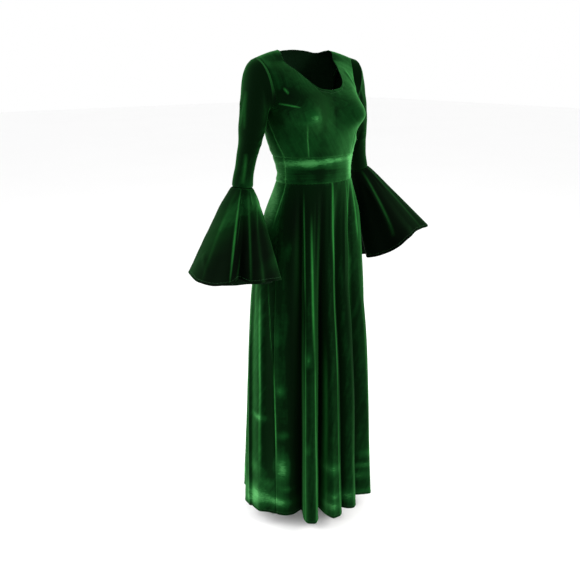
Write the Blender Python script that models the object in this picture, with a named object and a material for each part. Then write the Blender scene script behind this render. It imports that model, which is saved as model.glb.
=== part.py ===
"""Long velvet gown in a renaissance cut: fitted bodice, waistband, flared skirt, bell sleeves.

Metres, +Z up, the front faces -Y and +X is the wearer's left. The origin is midway between the
shoulders, where the wearer holds the gown up. Every piece is one closed wall of cloth. Its outer
side is a smooth surface read from a short table, a row for each section or fold.
"""

from collections import namedtuple
import math

import bpy
import numpy as np

# Driving dimensions
WALL = 0.002            # thickness of the velvet with its backing
SEAM_GAP = 0.0003       # clear space between two sewn pieces
ARMHOLE_OFF = 0.0005    # the sleeve's head stands this far out of the armhole
HEM_HEIGHT = -1.396     # the skirt's hem, below the shoulders
BAND_TOP = -0.279       # seam between bodice and waistband
BAND_BOTTOM = -0.350    # seam between waistband and skirt
SIDE_SEAM = math.radians(71.0)   # the lower side seams, from the front centre, seen from above

BUST_OUT = 0.047        # how far the bust darts throw the front out
BUST_APART = 0.085      # bust point from the centre line
BUST_HEIGHT = -0.164
BUST_WIDE = 0.048
BUST_ABOVE = 0.052
BUST_BELOW = 0.040
BUST_SPREAD = 0.2       # how much of the bust's throw goes sideways
BUST_EDGE_POWER = 4     # above 1 the bust dies away only near the side seam

# Waistband: height, half width, centre from front to back, half depth
BandRow = namedtuple("BandRow", "z half_width centre_y half_depth")
BAND_ROWS = [
    BandRow(BAND_BOTTOM, 0.1223, -0.0263, 0.0880),
    BandRow(-0.328, 0.1190, -0.0270, 0.0860),
    BandRow(-0.309, 0.1215, -0.0250, 0.0875),
    BandRow(-0.290, 0.1270, -0.0226, 0.0900),
    BandRow(BAND_TOP, 0.1302, -0.0215, 0.0922),
]

# Bodice: the right and left edge (side seam, then armhole), the centre line of the front and of the
# back, and how far each row turns round on its way to the edge
BodiceRow = namedtuple(
    "BodiceRow",
    "edge_z edge_x front_edge_y back_edge_y front_z front_y back_z back_y front_turn back_turn",
)
BODICE_ROWS = [
    BodiceRow(-0.279, 0.1253, -0.0465, -0.0465, -0.279, -0.1136, -0.279, 0.0709, 74.3, 105.7),
    BodiceRow(-0.265, 0.1304, -0.0420, -0.0420, -0.265, -0.1150, -0.265, 0.0755, 76, 104),
    BodiceRow(-0.242, 0.1389, -0.0340, -0.0340, -0.242, -0.1180, -0.242, 0.0840, 79, 101),
    BodiceRow(-0.222, 0.1425, -0.0240, -0.0240, -0.220, -0.1170, -0.222, 0.0900, 82, 98),
    BodiceRow(-0.190, 0.1455, -0.0060, -0.0060, -0.187, -0.1140, -0.190, 0.0970, 85, 93),
    BodiceRow(-0.158, 0.1475, 0.0100, 0.0100, -0.152, -0.1090, -0.158, 0.1030, 84, 84),
    BodiceRow(-0.140, 0.1462, -0.0300, 0.0480, -0.130, -0.1050, -0.134, 0.1050, 73, 74),
    BodiceRow(-0.118, 0.1460, -0.0390, 0.0660, -0.108, -0.0985, -0.108, 0.1055, 62, 62),
    BodiceRow(-0.083, 0.1475, -0.0280, 0.0680, -0.083, -0.0820, -0.072, 0.1030, 56, 58),
    BodiceRow(-0.053, 0.1520, -0.0170, 0.0580, -0.049, -0.0430, -0.038, 0.0930, 52, 55),
    BodiceRow(-0.030, 0.1590, -0.0020, 0.0400, -0.020, 0.0020, 0.004, 0.0660, 50, 52),
    BodiceRow(-0.0195, 0.1655, 0.0080, 0.0290, 0.001, 0.0090, 0.0085, 0.0360, 50, 51),
    BodiceRow(-0.016, 0.1680, 0.0180, 0.0180, 0.0104, 0.0200, 0.0104, 0.0200, 50, 50),
]
UNDERARM_ROW = 5
ARMHOLE_CURVE = (6, 7)  # rows that the armhole's lower curve passes
CUT_POWER = 3           # above 1 the cloth follows the armhole's cut only near it

# Neckline: half width of the opening at each height, from the shoulder down to the centre
NeckRow = namedtuple("NeckRow", "half_width z")
FRONT_NECK = [
    NeckRow(0.093, 0.0034),
    NeckRow(0.090, -0.0250),
    NeckRow(0.074, -0.0540),
    NeckRow(0.058, -0.0790),
    NeckRow(0.034, -0.0960),
    NeckRow(0.000, -0.1015),
]
BACK_NECK = [
    NeckRow(0.093, 0.0034),
    NeckRow(0.084, -0.0030),
    NeckRow(0.068, -0.0030),
    NeckRow(0.038, 0.0020),
    NeckRow(0.000, 0.0040),
]

# Skirt as the crests of its folds enclose it
SkirtRow = namedtuple("SkirtRow", "z half_width centre_y front_depth back_depth")
SKIRT_ROWS = [
    SkirtRow(BAND_BOTTOM, 0.1223, -0.0263, 0.0880, 0.0880),
    SkirtRow(-0.365, 0.1265, -0.0250, 0.0900, 0.0900),
    SkirtRow(-0.393, 0.1375, -0.0230, 0.0935, 0.0950),
    SkirtRow(-0.416, 0.1470, -0.0210, 0.0960, 0.0985),
    SkirtRow(-0.440, 0.1570, -0.0190, 0.0990, 0.1010),
    SkirtRow(-0.489, 0.1700, -0.0140, 0.1060, 0.1030),
    SkirtRow(-0.571, 0.1790, -0.0100, 0.1160, 0.1220),
    SkirtRow(-0.690, 0.1910, -0.0050, 0.1280, 0.1480),
    SkirtRow(-0.813, 0.1970, -0.0020, 0.1450, 0.1620),
    SkirtRow(-1.003, 0.2030, 0.0000, 0.1650, 0.1780),
    SkirtRow(-1.205, 0.2090, 0.0000, 0.1770, 0.1900),
    SkirtRow(HEM_HEIGHT, 0.2130, 0.0000, 0.1920, 0.2000),
]

# Skirt folds, round from the back by the wearer's right and the front: angle from the front centre
# at the band and at the hem, and how far the cloth stands out from the row above at three heights
FoldRow = namedtuple("FoldRow", "band_deg hem_deg hip_out knee_out hem_out")
HIP, KNEE = -0.489, -0.813
RIGHT_BACK_FOLDS = [
    FoldRow(-180, -180, -0.004, -0.030, -0.062),
    FoldRow(-168, -168, 0.000, -0.004, 0.004),
    FoldRow(-160, -160, 0.000, -0.003, 0.006),
    FoldRow(-150, -150, -0.004, -0.028, -0.056),
    FoldRow(-141, -141, 0.000, -0.004, 0.002),
    FoldRow(-134, -134, 0.000, -0.002, 0.004),
    FoldRow(-121, -121, -0.003, -0.020, -0.042),
    FoldRow(-108, -108, 0.000, -0.002, 0.002),
    FoldRow(-103, -103, 0.000, -0.002, 0.000),
    FoldRow(-97, -97, -0.002, -0.005, -0.008),
    FoldRow(-88, -88, 0.000, -0.002, -0.008),
    FoldRow(-79, -79, -0.001, -0.008, -0.025),
]
FRONT_FOLDS = [
    FoldRow(-71, -71, 0.000, -0.004, -0.030),
    FoldRow(-62, -62, -0.001, -0.008, -0.034),
    FoldRow(-55, -55, -0.003, -0.012, -0.044),
    FoldRow(-51, -46, -0.016, -0.030, -0.072),
    FoldRow(-47, -41, -0.006, -0.008, -0.016),
    FoldRow(-41, -37, -0.002, -0.001, 0.001),
    FoldRow(-34, -32, -0.002, -0.002, 0.005),
    FoldRow(-28, -28, -0.004, -0.012, -0.008),
    FoldRow(-21, -22, -0.012, -0.036, -0.078),
    FoldRow(-14, -17, -0.004, -0.010, -0.026),
    FoldRow(-9, -12, -0.002, 0.000, 0.001),
    FoldRow(-4, -6, -0.001, 0.001, 0.001),
    FoldRow(-1, -1, -0.002, -0.002, -0.008),
    FoldRow(8, 4, -0.011, -0.024, -0.036),
    FoldRow(17, 9, -0.004, -0.004, -0.012),
    FoldRow(26, 14, -0.001, 0.003, 0.000),
    FoldRow(33, 19, -0.002, 0.000, -0.004),
    FoldRow(39, 28, -0.014, -0.036, -0.076),
    FoldRow(43, 37, -0.004, -0.001, -0.014),
    FoldRow(48, 42, 0.002, 0.012, 0.018),
    FoldRow(54, 47, 0.005, 0.013, 0.015),
    FoldRow(62, 59, 0.003, -0.004, -0.046),
]
LEFT_BACK_FOLDS = [
    FoldRow(71, 71, 0.004, 0.006, 0.002),
    FoldRow(79, 79, 0.000, 0.002, 0.002),
    FoldRow(91, 91, -0.003, -0.012, -0.040),
    FoldRow(101, 101, 0.000, 0.000, 0.000),
    FoldRow(108, 108, 0.000, 0.000, 0.004),
    FoldRow(121, 121, -0.003, -0.024, -0.052),
    FoldRow(132, 132, 0.000, -0.003, 0.003),
    FoldRow(140, 140, 0.000, -0.003, 0.004),
    FoldRow(151, 151, -0.004, -0.030, -0.060),
    FoldRow(161, 161, 0.000, -0.004, 0.004),
    FoldRow(169, 169, 0.000, -0.003, 0.002),
]
SKIRT_FOLDS = RIGHT_BACK_FOLDS + FRONT_FOLDS + LEFT_BACK_FOLDS

# Sleeve, as the wearer's left one: each ring's outer and inner point, its middle from front to back
# and its half depth. The first ring is the armhole.
SleeveRow = namedtuple("SleeveRow", "outer_x outer_z inner_x inner_z middle_y half_depth")
UPPER_SLEEVE = [
    SleeveRow(0.1790, -0.0205, 0.1486, -0.1640, 0.014, 0.0550),
    SleeveRow(0.1895, -0.0290, 0.1494, -0.1710, 0.015, 0.0510),
    SleeveRow(0.1985, -0.0430, 0.1503, -0.1780, 0.015, 0.0475),
    SleeveRow(0.2070, -0.0680, 0.1513, -0.1870, 0.014, 0.0445),
    SleeveRow(0.2145, -0.1060, 0.1528, -0.1970, 0.012, 0.0420),
    SleeveRow(0.2220, -0.1500, 0.1560, -0.2090, 0.010, 0.0395),
    SleeveRow(0.2275, -0.1940, 0.1615, -0.2230, 0.010, 0.0360),
    SleeveRow(0.2295, -0.2350, 0.1655, -0.2390, 0.012, 0.0330),
]
RIGHT_SLEEVE = UPPER_SLEEVE + [
    SleeveRow(0.2335, -0.2670, 0.1745, -0.2660, 0.015, 0.0297),
    SleeveRow(0.2385, -0.2970, 0.1825, -0.2960, 0.017, 0.0284),
    SleeveRow(0.2455, -0.3280, 0.1890, -0.3300, 0.019, 0.0288),
    SleeveRow(0.2495, -0.3530, 0.1905, -0.3590, 0.020, 0.0297),
]
LEFT_SLEEVE = UPPER_SLEEVE + [
    SleeveRow(0.2330, -0.2640, 0.1740, -0.2680, 0.015, 0.0295),
    SleeveRow(0.2370, -0.2920, 0.1820, -0.2980, 0.017, 0.0277),
    SleeveRow(0.2435, -0.3170, 0.1880, -0.3260, 0.019, 0.0284),
    SleeveRow(0.2492, -0.3360, 0.1913, -0.3490, 0.020, 0.0297),
]

# Bells, as on the wearer's left: the hem's centre, the way the hem's open face looks, and how early
# the flounce opens (below 1 is early)
BellPose = namedtuple("BellPose", "hem_centre lean spread")
RIGHT_BELL_POSE = BellPose((0.3080, -0.0600, -0.5820), (0.32, -0.20, -1.0), 0.86)
LEFT_BELL_POSE = BellPose((0.3020, -0.0560, -0.5680), (0.40, -0.16, -1.0), 0.80)
BELL_TOP = 0.0298        # radius at the sleeve's end
FOLD_START = 1.3         # above 1 the bell's folds deepen towards the hem

# Bell folds: angle from the outer side towards the front, the hem's radius there, and how far the
# hem hangs below its level
BellFold = namedtuple("BellFold", "deg hem_radius drop")
RIGHT_BELL_FOLDS = [
    BellFold(-40, 0.125, 0.000),
    BellFold(-15, 0.121, 0.010),
    BellFold(10, 0.125, 0.026),
    BellFold(32, 0.127, 0.032),
    BellFold(49, 0.134, 0.026),
    BellFold(55, 0.129, 0.021),
    BellFold(65, 0.086, 0.006),
    BellFold(79, 0.116, 0.014),
    BellFold(92, 0.121, 0.009),
    BellFold(106, 0.111, 0.004),
    BellFold(122, 0.122, -0.003),
    BellFold(140, 0.128, -0.009),
    BellFold(158, 0.106, -0.006),
    BellFold(178, 0.122, 0.000),
    BellFold(196, 0.124, 0.006),
    BellFold(216, 0.104, 0.012),
    BellFold(238, 0.122, 0.020),
    BellFold(256, 0.124, 0.024),
    BellFold(280, 0.106, 0.018),
    BellFold(302, 0.122, 0.008),
]
LEFT_BELL_FOLDS = [
    BellFold(-38, 0.119, 0.002),
    BellFold(-12, 0.102, 0.004),
    BellFold(10, 0.114, 0.002),
    BellFold(30, 0.121, 0.000),
    BellFold(46, 0.123, 0.000),
    BellFold(64, 0.109, -0.012),
    BellFold(84, 0.105, -0.021),
    BellFold(104, 0.115, -0.022),
    BellFold(122, 0.118, -0.014),
    BellFold(144, 0.108, -0.002),
    BellFold(164, 0.115, 0.000),
    BellFold(180, 0.117, 0.002),
    BellFold(200, 0.098, 0.006),
    BellFold(222, 0.115, 0.010),
    BellFold(240, 0.117, 0.012),
    BellFold(262, 0.098, 0.010),
    BellFold(286, 0.115, 0.006),
    BellFold(304, 0.118, 0.004),
]

# How finely each piece is divided
BODICE_STEPS, ARMHOLE_STEPS = 9, 12   # below and above the underarm
SHOULDER_COLUMNS = 4
FRONT_COLUMNS, BACK_COLUMNS = 12, 9   # from the neck's corner to its middle
BAND_COLUMNS, BAND_STEPS = 24, 3
SKIRT_STEPS, FOLD_STEPS = 13, 2
SKIRT_CROWDING = 1.35   # above 1 the skirt's rows lie closer near the band
SLEEVE_STEPS = 15
BELL_STEPS, BELL_FOLD_STEPS = 7, 2

VELVET = (0.006, 0.040, 0.012, 1.0)
VELVET_ROUGHNESS = 0.75
SMALL = 1e-4            # step for reading a surface's direction
EASE = 0.0025           # keeps the folds' turn from starting too fast at the band
ARMHOLE_SAMPLES = 400
SHARP_EDGE = math.radians(50.0)


def smooth(knots, values, at):
    """Monotone cubic through a table's column: it never swings past a row."""
    knots = np.asarray(knots, float)
    values = np.asarray(values, float)
    at = np.clip(np.asarray(at, float), knots[0], knots[-1])
    steps = np.diff(knots)
    rises = np.diff(values) / steps
    slopes = np.zeros(len(knots))
    slopes[0], slopes[-1] = rises[0], rises[-1]
    same_way = rises[:-1] * rises[1:] > 0
    weight_a = 2 * steps[1:] + steps[:-1]
    weight_b = steps[1:] + 2 * steps[:-1]
    safe_a = np.where(same_way, rises[:-1], 1.0)
    safe_b = np.where(same_way, rises[1:], 1.0)
    mean = (weight_a + weight_b) / (weight_a / safe_a + weight_b / safe_b)
    slopes[1:-1] = np.where(same_way, mean, 0.0)
    cell = np.clip(np.searchsorted(knots, at, side="right") - 1, 0, len(steps) - 1)
    t = (at - knots[cell]) / steps[cell]
    start = values[cell] * (1 + 2 * t) * (1 - t) ** 2 + slopes[cell] * steps[cell] * t * (1 - t) ** 2
    end = values[cell + 1] * t * t * (3 - 2 * t) + slopes[cell + 1] * steps[cell] * t * t * (t - 1)
    return start + end


def column(rows, name):
    return [getattr(row, name) for row in rows]


def band_point(angle, z):
    """A point of the waistband. The angle runs from the front centre, positive to the wearer's left."""
    heights = column(BAND_ROWS, "z")
    half_width = smooth(heights, column(BAND_ROWS, "half_width"), z)
    centre_y = smooth(heights, column(BAND_ROWS, "centre_y"), z)
    half_depth = smooth(heights, column(BAND_ROWS, "half_depth"), z)
    reach = ray_to_ellipse(angle, half_width, centre_y, half_depth)
    return np.stack([reach * np.sin(angle), -reach * np.cos(angle), z + 0 * angle], axis=-1)


def ray_to_ellipse(angle, half_width, centre_y, half_depth):
    """Distance from the centre line to an ellipse set back by centre_y, along a direction."""
    across, forward = np.sin(angle), -np.cos(angle)
    a = (across / half_width) ** 2 + (forward / half_depth) ** 2
    b = -2 * forward * centre_y / half_depth**2
    c = (centre_y / half_depth) ** 2 - 1
    return (-b + np.sqrt(b * b - 4 * a * c)) / (2 * a)


def read_bodice(name, row):
    """A column of the bodice's table, read between its rows."""
    return smooth(range(len(BODICE_ROWS)), column(BODICE_ROWS, name), row)


def edge_y(side, row):
    """From front to back, the edge is one side seam up to the underarm, and then half the armhole."""
    values = column(BODICE_ROWS, side + "_edge_y")
    seam = smooth(range(UNDERARM_ROW + 1), values[: UNDERARM_ROW + 1], row)
    armhole = smooth(range(UNDERARM_ROW, len(values)), values[UNDERARM_ROW:], row)
    return np.where(row <= UNDERARM_ROW, seam, armhole)


def uncut_y(side, row):
    """The edge's line as the cloth within it runs, before the armhole's lower curve is cut."""
    knots = [index for index in range(len(BODICE_ROWS)) if index not in ARMHOLE_CURVE]
    values = column(BODICE_ROWS, side + "_edge_y")
    return smooth(knots, [values[index] for index in knots], row)


def bodice_point(side, across, row):
    """A point of the bodice. across is -1 to 1 between the edges, row counts the table's rows."""
    edge_x, edge_z = read_bodice("edge_x", row), read_bodice("edge_z", row)
    uncut = uncut_y(side, row)
    cut = (edge_y(side, row) - uncut) * np.abs(across) ** CUT_POWER
    middle_y, middle_z = read_bodice(side + "_y", row), read_bodice(side + "_z", row)
    turn = np.radians(read_bodice(side + "_turn", row))
    x = edge_x * np.sin(turn * across) / np.sin(turn)
    inward = (np.cos(turn * across) - np.cos(turn)) / (1 - np.cos(turn))
    y = uncut + (middle_y - uncut) * inward + cut
    z = edge_z + (middle_z - edge_z) * inward
    if side == "front":
        drop = z - BUST_HEIGHT
        spread = np.where(drop > 0, BUST_ABOVE, BUST_BELOW)
        bump = np.exp(-(((np.abs(x) - BUST_APART) / BUST_WIDE) ** 2) - (drop / spread) ** 2)
        bump = BUST_OUT * bump * (1 - np.abs(across) ** BUST_EDGE_POWER)
        y = y - bump
        x = x + BUST_SPREAD * bump * np.sign(x)
    return np.stack([x, y, z], axis=-1)


def neck_places(side, rows):
    """Where the neckline's points lie on the bodice, as (across, row) pairs from shoulder to centre."""
    places = []
    for wanted in rows:
        low, high = float(UNDERARM_ROW), float(len(BODICE_ROWS) - 1)
        for _ in range(40):
            middle = (low + high) / 2
            across = across_at(side, wanted.half_width, middle)
            height = bodice_point(side, np.array(across), np.array(middle))[2]
            if height < wanted.z:
                low = middle
            else:
                high = middle
        places.append((across_at(side, wanted.half_width, low), low))
    return places


def across_at(side, half_width, row):
    edge_x = read_bodice("edge_x", row)
    turn = math.radians(read_bodice(side + "_turn", row))
    return math.asin(min(1.0, half_width * math.sin(turn) / edge_x)) / turn


def bodice_top_path(side, neck):
    """Corners of the bodice's upper edge from the shoulder tip to the neckline's centre, as
    (across, row) pairs with the share of its length at which each lies."""
    top_row = len(BODICE_ROWS) - 1
    corner = (across_at(side, neck[0].half_width, top_row), top_row)
    path = [(1.0, top_row), corner] + neck_places(side, neck[1:])
    points = [bodice_point(side, np.array(a), np.array(r)) for a, r in path]
    lengths = [0.0]
    for before, after in zip(points, points[1:]):
        lengths.append(lengths[-1] + float(np.linalg.norm(after - before)))
    return path, np.array(lengths) / lengths[-1]


def bodice_top(path, marks, share):
    """The bodice's upper edge, read at a share of its length."""
    neck_mark = marks[1]
    along_neck = np.clip(share, neck_mark, 1)
    across = smooth(marks[1:], [a for a, _ in path[1:]], along_neck)
    row = smooth(marks[1:], [r for _, r in path[1:]], along_neck)
    on_shoulder = np.clip(share / neck_mark, 0, 1)
    shoulder_across = 1 + (path[1][0] - 1) * on_shoulder
    shoulder = share < neck_mark
    return np.where(shoulder, shoulder_across, across), np.where(shoulder, path[0][1], row)


def bodice_surface(side, path, marks):
    """The front or back: u is -1 to 1 from edge to edge. v counts the table's rows up to the
    underarm, and above it each column's rows crowd together to end at the neckline."""
    last = len(BODICE_ROWS) - 1

    def surface(u, v):
        share = 1 - np.abs(u)
        top_across, top_row = bodice_top(path, marks, share)
        across = np.abs(u) + (top_across - np.abs(u)) * v / last
        above = np.maximum(v - UNDERARM_ROW, 0) * (top_row - UNDERARM_ROW) / (last - UNDERARM_ROW)
        return bodice_point(side, np.sign(u) * across, np.minimum(v, UNDERARM_ROW) + above)

    return surface


def skirt_surface(u, v):
    """The skirt: u counts the fold rows, closing on itself behind, and v is the height."""
    count = len(SKIRT_FOLDS)
    around = list(range(-count, 2 * count))
    turns = [360 * (index // count) for index in around]
    rows = [SKIRT_FOLDS[index % count] for index in around]
    band_deg = smooth(around, [row.band_deg + turn for row, turn in zip(rows, turns)], u)
    hem_deg = smooth(around, [row.hem_deg + turn for row, turn in zip(rows, turns)], u)
    fall = np.clip((BAND_BOTTOM - v) / (BAND_BOTTOM - HEM_HEIGHT), 0, 1)
    angle = np.radians(band_deg + (hem_deg - band_deg) * np.sqrt(fall + EASE))
    heights = [-row.z for row in SKIRT_ROWS]
    read = {name: smooth(heights, column(SKIRT_ROWS, name), -v) for name in SkirtRow._fields[1:]}
    depth = side_depth(angle, read["front_depth"], read["back_depth"])
    reach = ray_to_ellipse(angle, read["half_width"], read["centre_y"], depth)
    outs = [0 * u] + [smooth(around, column(rows, name), u) for name in FoldRow._fields[2:]]
    reach = reach + blend_levels([BAND_BOTTOM, HIP, KNEE, HEM_HEIGHT], outs, v)
    return np.stack([reach * np.sin(angle), -reach * np.cos(angle), v + 0 * u], axis=-1)


def side_depth(angle, front, back):
    """The front's half depth and the back's blend into each other round the sides."""
    share = np.clip(0.5 - np.cos(angle), 0, 1)
    share = share * share * (3 - 2 * share)
    return front + (back - front) * share


def blend_levels(levels, outs, at):
    """Smooth curve down the heights at which the fold table is stated."""
    slopes = [(after - before) / (low - high) for high, low, before, after in pairs(levels, outs)]
    slopes = [slopes[0]] + [(above + below) / 2 for above, below in zip(slopes, slopes[1:])] + [slopes[-1]]
    result = outs[0]
    for index, (high, low, before, after) in enumerate(pairs(levels, outs)):
        t = (at - high) / (low - high)
        start = before * (1 + 2 * t) * (1 - t) ** 2 + slopes[index] * (low - high) * t * (1 - t) ** 2
        end = after * t * t * (3 - 2 * t) + slopes[index + 1] * (low - high) * t * t * (t - 1)
        result = np.where(at <= high, start + end, result)
    return result


def pairs(levels, outs):
    return list(zip(levels, levels[1:], outs, outs[1:]))


def armhole_rows(angle):
    """The bodice row that the armhole has reached, at an angle from its top."""
    rows = np.linspace(UNDERARM_ROW, len(BODICE_ROWS) - 1, ARMHOLE_SAMPLES)
    heights = read_bodice("edge_z", rows)
    low, high = heights[0], heights[-1]
    return np.interp((low + high) / 2 + (high - low) / 2 * np.cos(angle), heights, rows)


def armhole_ring(angle):
    """The armhole of the wearer's left side. The angle runs from its top over the front."""
    row = armhole_rows(angle)
    y = np.where(np.sin(angle) > 0, edge_y("front", row), edge_y("back", row))
    return np.stack([read_bodice("edge_x", row), y, read_bodice("edge_z", row)], axis=-1)


def sleeve_surface(mirror, rows):
    """The sleeve: u is the angle round it, v counts the rings from the armhole."""
    knots = range(1, len(rows) + 1)

    def surface(u, v):
        read = {name: smooth(knots, column(rows, name), np.maximum(v, 1)) for name in SleeveRow._fields}
        middle_x = (read["outer_x"] + read["inner_x"]) / 2
        middle_z = (read["outer_z"] + read["inner_z"]) / 2
        x = middle_x + (read["outer_x"] - read["inner_x"]) / 2 * np.cos(u)
        z = middle_z + (read["outer_z"] - read["inner_z"]) / 2 * np.cos(u)
        y = read["middle_y"] - read["half_depth"] * np.sin(u)
        ring = np.stack([x, y, z], axis=-1)
        armhole = armhole_ring(u) + np.array([ARMHOLE_OFF, 0, 0])
        share = np.clip(1 - v, 0, 1)[..., None]
        point = ring + (armhole - ring) * share
        return point * np.array([mirror, 1, 1])

    return surface


def unit(vector):
    return vector / np.linalg.norm(vector, axis=-1, keepdims=True)


def bell_surface(mirror, cuff, folds, pose):
    """The bell: u counts the fold rows, closing on itself, and v is 0 at the seam and 1 at the hem."""
    start = np.array([(cuff.outer_x + cuff.inner_x) / 2, cuff.middle_y, (cuff.outer_z + cuff.inner_z) / 2])
    cuff_across = unit(np.array([cuff.outer_x - cuff.inner_x, 0, cuff.outer_z - cuff.inner_z]))
    lean = unit(np.array(pose.lean))
    hem_across = unit(np.array([1, 0, 0]) - lean * lean[0])
    count = len(folds)
    knots = list(range(-count, 2 * count))
    around = [folds[knot % count] for knot in knots]
    turns = [fold.deg + 360 * (knot // count) for fold, knot in zip(around, knots)]
    radii = column(around, "hem_radius")
    drops = column(around, "drop")
    mean = sum(radii) / len(radii)

    def surface(u, v):
        v = np.clip(v, 0, 1)
        angle = np.radians(smooth(knots, turns, u))
        hem_radius = smooth(knots, radii, u)
        drop = smooth(knots, drops, u)
        open_share = v**pose.spread
        fold_share = v**FOLD_START
        radius = BELL_TOP + (mean - BELL_TOP) * open_share + (hem_radius - mean) * fold_share
        across = unit(cuff_across + (hem_across - cuff_across) * v[..., None])
        down = unit(np.array([0, 0, -1]) * (1 - v[..., None]) + lean * v[..., None])
        down = unit(down - across * np.sum(down * across, axis=-1, keepdims=True))
        forward = np.cross(across, down)
        forward = forward * np.sign(-forward[..., 1:2])
        centre = start + (np.array(pose.hem_centre) - start) * v[..., None]
        centre = centre + down * (SEAM_GAP + (drop * v * v)[..., None])
        point = centre + radius[..., None] * (
            across * np.cos(angle)[..., None] + forward * np.sin(angle)[..., None]
        )
        return point * np.array([mirror, 1, 1])

    return surface


def wall(name, surface, us, vs, inside, seams="", shared=(), closed=False):
    """One piece of cloth: outer grid, inner grid a wall's thickness behind it, and the cut edges.

    inside is a point in the hollow, which tells which side is out. seams names the sides that are
    sewn (left, right, bottom, top): they stop half a seam's gap short, and a bottom or top seam is
    cut level. shared names the points on a seam where two surfaces meet at an angle, the side it is
    on and the way that it faces: both pieces are cut square to the same plane there.
    """
    u, v = np.meshgrid(us, vs)
    along_u = surface(u + SMALL, v) - surface(u - SMALL, v)
    along_v = surface(u, v + SMALL) - surface(u, v - SMALL)
    points = surface(u, v)
    normals = unit(np.cross(along_u, along_v))
    side = np.sum(normals * (points - np.asarray(inside)), axis=-1)
    facing = 1.0 if np.sum(side) > 0 else -1.0
    edges = {
        "left": (np.s_[:, 0], along_u),
        "right": (np.s_[:, -1], -along_u),
        "bottom": (np.s_[0], along_v),
        "top": (np.s_[-1], -along_v),
    }
    half = SEAM_GAP / 2
    shift = np.zeros_like(points)
    for seam in [name for name in ("left", "right") if name in seams]:
        where, inward = edges[seam]
        shift[where] += unit(inward[where]) * half
    for where, seam, faces in shared:
        inward = edges[seam][1]
        line = unit(np.gradient(points[where], axis=0))
        faces = np.array(faces, float)
        normals[where] = facing * unit(faces - line * np.sum(line * faces, axis=-1, keepdims=True))
        square = unit(np.cross(line, normals[where]))
        shift[where] = square * np.sign(np.sum(square * inward[where], axis=-1, keepdims=True)) * half
    for seam in [name for name in ("bottom", "top") if name in seams]:
        where, inward = edges[seam]
        shift[where] += unit(inward[where]) * half
        normals[where] = unit(normals[where] * np.array([1, 1, 0]))
    outer = points + shift
    inner = outer - normals * facing * WALL
    return build_wall(name, outer, inner, closed, facing)


def build_wall(name, outer, inner, closed, facing):
    tall, wide = outer.shape[:2]
    count = tall * wide
    spans = wide if closed else wide - 1

    def at(row, col, layer):
        return layer * count + row * wide + col % wide

    faces = []
    for row in range(tall - 1):
        for col in range(spans):
            corners = [(row, col), (row, col + 1), (row + 1, col + 1), (row + 1, col)]
            faces.append([at(r, c, 0) for r, c in corners])
            faces.append([at(r, c, 1) for r, c in reversed(corners)])
    for col in range(spans):
        faces.append([at(0, col + 1, 0), at(0, col, 0), at(0, col, 1), at(0, col + 1, 1)])
        last = tall - 1
        faces.append([at(last, col, 0), at(last, col + 1, 0), at(last, col + 1, 1), at(last, col, 1)])
    if not closed:
        for row in range(tall - 1):
            faces.append([at(row, 0, 0), at(row + 1, 0, 0), at(row + 1, 0, 1), at(row, 0, 1)])
            end = wide - 1
            faces.append([at(row + 1, end, 0), at(row, end, 0), at(row, end, 1), at(row + 1, end, 1)])
    if facing < 0:
        faces = [list(reversed(face)) for face in faces]
    vertices = np.concatenate([outer.reshape(-1, 3), inner.reshape(-1, 3)])
    mesh = bpy.data.meshes.new(name)
    mesh.from_pydata(vertices.tolist(), [], faces)
    mesh.validate()
    mesh.shade_smooth()
    mesh.set_sharp_from_angle(angle=SHARP_EDGE)
    mesh.materials.append(velvet(name))
    piece = bpy.data.objects.new(name, mesh)
    bpy.context.scene.collection.objects.link(piece)
    return piece


def velvet(name):
    material = bpy.data.materials.new(name)
    material.use_nodes = True
    shader = material.node_tree.nodes["Principled BSDF"]
    shader.inputs["Base Color"].default_value = VELVET
    shader.inputs["Roughness"].default_value = VELVET_ROUGHNESS
    shader.inputs["Metallic"].default_value = 0.0
    material.diffuse_color = VELVET
    return material


def even_steps(count, low=0.0, high=1.0):
    return np.linspace(low, high, count + 1)


def make_bodice():
    below = even_steps(BODICE_STEPS, 0, UNDERARM_ROW)[:-1]
    above = armhole_rows(even_steps(ARMHOLE_STEPS, math.pi, 0))
    rows = np.concatenate([below, above])
    sides = (("front", FRONT_NECK, FRONT_COLUMNS), ("back", BACK_NECK, BACK_COLUMNS))
    for side, neck, neck_columns in sides:
        path, marks = bodice_top_path(side, neck)
        shares = even_steps(SHOULDER_COLUMNS, 0, marks[1])[:-1]
        shares = np.concatenate([shares, even_steps(neck_columns, marks[1], 1)])
        half = 1 - shares
        columns = np.concatenate([-half, half[:-1][::-1]])
        shared = (
            (np.s_[: BODICE_STEPS + 1, 0], "left", (-1, 0, 0)),
            (np.s_[: BODICE_STEPS + 1, -1], "right", (1, 0, 0)),
            (np.s_[-1, : SHOULDER_COLUMNS + 1], "top", (0, 0, 1)),
            (np.s_[-1, -SHOULDER_COLUMNS - 1 :], "top", (0, 0, 1)),
        )
        surface = bodice_surface(side, path, marks)
        wall("bodice_" + side, surface, columns, rows, (0, 0, -0.2), "left right bottom", shared)


def make_waistband():
    inside = (0, 0, -0.33)
    rows = even_steps(BAND_STEPS, BAND_BOTTOM, BAND_TOP)
    front = even_steps(BAND_COLUMNS, -SIDE_SEAM, SIDE_SEAM)
    back = even_steps(BAND_COLUMNS, SIDE_SEAM, 2 * math.pi - SIDE_SEAM)
    wall("waistband_front", band_point, front, rows, inside, seams="left right bottom top")
    wall("waistband_back", band_point, back, rows, inside, seams="left right bottom top")


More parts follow.
